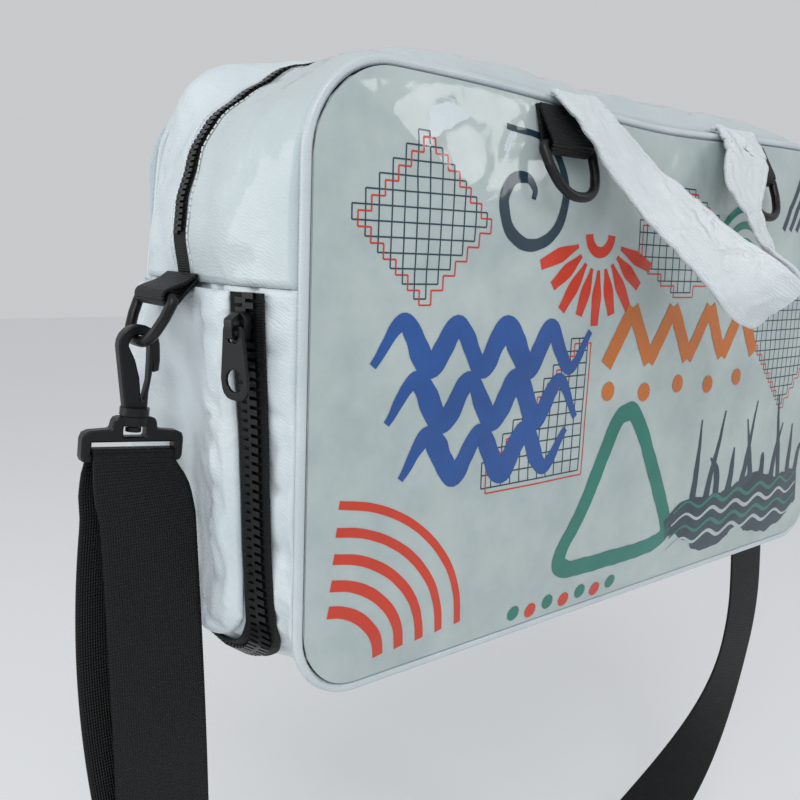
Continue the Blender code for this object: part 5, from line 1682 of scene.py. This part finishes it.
@dataclass
class Print:
    """Generic painted shapes under the film: fine grids, arcs, slanted bars and waves."""

    front: Front
    step: float = 0.0017
    base_lift: float = 0.00013
    layer_lift: float = 0.00004
    cell: float = 7.2
    line: float = 0.75
    shifted_line: float = 0.85
    shift: tuple = (3.2, -3.0, 3.2, -3.0)
    rows: dict = field(default_factory=dict)

    def stroke(
        self, finish: Finish, path: Sequence[tuple[float, float]], width: float | Sequence[float],
        layer: int = 0, rough: float = 0.06,
    ) -> None:
        """Adds a painted stroke along a smooth path in millimetres.

        Args:
            finish: its colour.
            path: places along and up the front, in mm.
            width: its width in mm, or widths at even places along it.
            layer: strokes of a higher layer lie on top.
            rough: how uneven its edges are, as a share of the width.
        """
        points = [Vector((x, z)) * MM for x, z in path]
        widths = [width * MM] * 2 if isinstance(width, (int, float)) else [w * MM for w in width]
        spread = [spline_point(points, k / 60) for k in range(61)] if len(points) > 2 else points
        length = sum((b - a).length for a, b in zip(spread, spread[1:]))
        count = max(2, math.ceil(length / self.step))
        columns = max(1, math.ceil(max(widths) / self.step))
        table = [(k / (len(widths) - 1), w) for k, w in enumerate(widths)]
        lift = self.base_lift + self.layer_lift * layer
        block = []
        for i in range(count + 1):
            share = i / count
            here = spline_point(points, share)
            run = spline_run(points, share, 0.004)
            side = Vector((-run.y, run.x)).normalized()
            wide = table_value(table, share)
            low = -0.5 * wide * (1.0 + rough * ripple(here.x, 3.0, here.y, 0.007))
            high = 0.5 * wide * (1.0 + rough * ripple(here.x, 7.0, here.y, 0.007))
            spots = [here + side * lerp(low, high, j / columns) for j in range(columns + 1)]
            block.append([self.front.at(s.x, s.y, lift) for s in spots])
        self.rows.setdefault(finish.name, (finish, []))[1].append(block)

    def bar(self, finish: Finish, ends: Sequence[float], width: float, layer: int = 0) -> None:
        """Adds a straight bar, in mm.

        Args:
            finish: its colour.
            ends: x and z of its two ends.
            width: its width.
            layer: bars of a higher layer lie on top.
        """
        self.stroke(finish, (ends[:2], ends[2:]), width, layer, 0.10)

    def arc(
        self, finish: Finish, centre: tuple[float, float], radius: float, width: float,
        turn: tuple[float, float] = (0.0, 360.0), layer: int = 0,
    ) -> None:
        """Adds an arc or a ring, in mm.

        Args:
            finish: its colour.
            centre: place of its centre.
            radius: radius of its middle line.
            width: its width.
            turn: its first and last angle in degrees.
            layer: arcs of a higher layer lie on top.
        """
        (x, z), (first, last) = centre, turn
        count = max(4, round(abs(last - first) / 12))
        angles = [math.radians(lerp(first, last, k / count)) for k in range(count + 1)]
        path = [(x + radius * math.cos(a), z + radius * math.sin(a)) for a in angles]
        self.stroke(finish, path, width, layer)

    def blocks(self, x: float, z: float, count: int, inside: Callable[[int, int], bool]) -> None:
        """Adds a stepped shape of square cells: navy grid lines and a shifted red outline.

        Args:
            x: its left edge, in mm.
            z: its lower edge, in mm.
            count: cells along each side of the square it lies in.
            inside: whether a column and a row belong to the shape.
        """
        sides = ((-1, 0, (0, 0, 0, 1)), (1, 0, (1, 0, 1, 1)), (0, -1, (0, 0, 1, 0)), (0, 1, (0, 1, 1, 1)))
        places = [(i, j) for i in range(count) for j in range(count) if inside(i, j)]
        for i, j in places:
            left, low = x + i * self.cell, z + j * self.cell
            for di, dj, (a, b, c, d) in sides:
                ends = (
                    left + a * self.cell, low + b * self.cell, left + c * self.cell, low + d * self.cell,
                )
                shared = (i + di, j + dj) in places
                if di + dj > 0 or not shared:
                    self.bar(Finishes.navy, ends, self.line)
                if not shared:
                    moved = [v + s for v, s in zip(ends, self.shift)]
                    self.bar(Finishes.red, moved, self.shifted_line)

    def design(self) -> None:
        """Lays the motifs out over the front."""
        look = Finishes
        self.blocks(-228, 200, 11, lambda i, j: abs(i - 5) + abs(j - 5) <= 5 + (i + j) % 2)
        self.blocks(-142, 98, 11, lambda i, j: j <= i + 1)
        self.blocks(-22, 196, 12, lambda i, j: abs(i - 6) + 2 * abs(j - 5) <= 9)
        self.blocks(112, 118, 13, lambda i, j: j + i >= 8 and i - j < 9)
        for k in range(5):
            self.arc(look.vermilion, (-238, 14), 34 + 13.5 * k, 6.4 - 0.5 * k, (5, 85), 1)
        near = 20
        for k in range(9):
            angle, far = math.radians(200 + 17.5 * k), 52 - 4 * (k % 2)
            reaches = (near, (near + far) / 2, far)
            ends = [(-58 + r * math.cos(angle), 236 + r * math.sin(angle)) for r in reaches]
            self.stroke(look.vermilion, ends, (2.5, 8.5, 6.0), 1)
        self.arc(look.vermilion, (-58, 236), 10, 6.5, (180, 360), 1)
        for k in range(3):
            z = 178 - 29 * k
            path = [(-214 + 17 * i + 9 * k, z + (12 if i % 2 else -10) - i) for i in range(10 - k)]
            self.stroke(look.blue, path, (4.0, 13.0, 10.0, 14.0, 11.0, 4.0), 3, 0.16)
        turns = [(4.0 + 3.4 * t, math.radians(47 * t)) for t in range(11)]
        curl = [(-120 + r * math.cos(a), 252 + r * math.sin(a)) for r, a in turns]
        self.stroke(look.navy, curl, (3, 6, 7, 6, 3), 2, 0.14)
        corners = (
            (-20, 33), (8, 33), (32, 36), (37, 46), (16, 84), (-8, 124), (-20, 129), (-32, 119),
            (-52, 78), (-70, 46), (-64, 35), (-42, 33), (-19, 33),
        )
        self.stroke(look.teal, corners, 11.5, 2, 0.10)
        for k in range(8):
            low, high = (160, 194) if k % 2 == 0 else (194, 160)
            self.stroke(look.orange, ((-44 + 21 * k, low), (-23 + 21 * k, high)), 10.5, 4, 0.08)
        for k in range(5):
            self.arc(look.orange, (-40 + 36 * k, 144 - 3 * (k % 2)), 3.2, 5.6, layer=4)
        hills = [(36 + 17 * i, 42 + 5 * math.sin(1.3 * i)) for i in range(12)]
        self.stroke(look.navy, hills, (14, 32, 44, 38, 48, 44, 28), 2, 0.12)
        for k in range(11):
            x, sway = 66 + 15 * k, 16 * math.sin(2.1 * k)
            top = 104 + 22 * math.sin(1.7 * k + 0.6)
            reed = ((x, 50), (x + sway * 0.3, 76), (x + sway, top))
            self.stroke(look.navy, reed, (8.5, 6.0, 1.6), 2, 0.16)
        for k in range(4):
            path = [(44 + 16 * i, 28 + 9 * k + (3.5 if i % 2 else -2.5)) for i in range(12)]
            self.stroke(look.teal if k % 2 else look.film, path, (1.4, 3.0, 3.0, 1.4), 4)
        for k in range(7):
            self.bar(look.navy, (148 + 10 * k, 248, 168 + 10 * k, 284), 4.4, 2)
        for k in range(7):
            dot = (-104 + 15 * k, 15 - 2 * (k % 2))
            self.arc(look.vermilion if k % 2 else look.teal, dot, 2.6, 4.6, layer=2)
        for k in range(3):
            self.arc(look.teal, (98, 226), 12 + 11 * k, 5.0, (20 + 25 * k, 250 - 20 * k), 2)

    def build(self) -> None:
        """One thin piece for each colour of the print."""
        self.design()
        for finish, blocks in self.rows.values():
            verts, faces = [], []
            for block in blocks:
                start, width = len(verts), len(block[0])
                verts += [point for row in block for point in row]
                for i in range(len(block) - 1):
                    for j in range(width - 1):
                        a = start + i * width + j
                        faces.append((a, a + width, a + width + 1, a + 1))
            mesh = bpy.data.meshes.new(f"print_{finish.name}")
            mesh.from_pydata(verts, [], faces)
            with edited(mesh) as work:
                turned = [face for face in work.faces if face.normal.y > 0.0]
                bmesh.ops.reverse_faces(work, faces=turned)
            shade(mesh, 60.0)
            dress(new_object(mesh.name, mesh), finish)


@dataclass
class Studio:
    """The photo's camera, soft lights, a pale floor and a pale world."""

    place: Vector = field(default_factory=lambda: Vector((-0.4509, -0.4131, 0.2232)))
    turn: tuple = (79.86, -2.24, -38.27)
    lens: float = 37.8
    sensor: float = 36.0
    floor: float = -0.368
    floor_reach: float = 6.0
    world_strength: float = 0.62

    def light(self, name: str, place: tuple, target: tuple, size: float, power: float) -> None:
        """Adds a square soft light.

        Args:
            name: its name.
            place: where it stands.
            target: the place it looks at.
            size: length of its side.
            power: its power in watts.
        """
        lamp = bpy.data.lights.new(name, "AREA")
        lamp.shape = "SQUARE"
        lamp.size = size
        lamp.energy = power
        made = new_object(name, lamp)
        made.location = place
        made.rotation_euler = (Vector(target) - Vector(place)).to_track_quat("-Z", "Y").to_euler()

    def build(self) -> None:
        """Sets up the camera, the lights, the floor and the world."""
        camera_data = bpy.data.cameras.new("photo_camera")
        camera_data.lens = self.lens
        camera_data.sensor_width = self.sensor
        camera_data.clip_start = 0.01
        camera = new_object("photo_camera", camera_data)
        camera.location = self.place
        camera.rotation_euler = [math.radians(a) for a in self.turn]
        bpy.context.scene.camera = camera
        mesh = bpy.data.meshes.new("floor")
        reach = self.floor_reach
        corners = [(-reach, -reach), (reach, -reach), (reach, reach), (-reach, reach)]
        mesh.from_pydata([(x, y, self.floor) for x, y in corners], [], [(0, 1, 2, 3)])
        floor = new_object("floor", mesh)
        floor.data.materials.append(Finish("pale_floor", "#F4F5F6", "#F4F5F6", 0.9).make())
        world = bpy.data.worlds.new("studio")
        world.use_nodes = True
        shine = world.node_tree.nodes["Background"]
        shine.inputs["Color"].default_value = hex_colour("#F7F9FB")
        shine.inputs["Strength"].default_value = self.world_strength
        bpy.context.scene.world = world
        bpy.context.scene.view_settings.view_transform = "Standard"
        for light in (
            ("key", (-1.0, -1.1, 1.6), (0.0, 0.0, 0.1), 1.1, 13.0),
            ("side", (-1.8, 0.5, 0.5), (-0.2, 0.0, 0.1), 1.0, 6.0),
            ("sheen", (1.2, -1.5, 0.9), (0.0, 0.0, 0.15), 0.35, 2.6),
        ):
            self.light(*light)


def main() -> None:
    """Builds the whole scene in the CAD's frame."""
    logging.basicConfig(level=logging.INFO, format="%(name)s: %(message)s")
    front = Front()
    front.build()
    Bands().build()
    Zips().build()
    Pocket().build()
    Strap().build()
    Handles().build()
    Print(front).build()
    Studio().build()


if __name__ == "__main__":
    main()
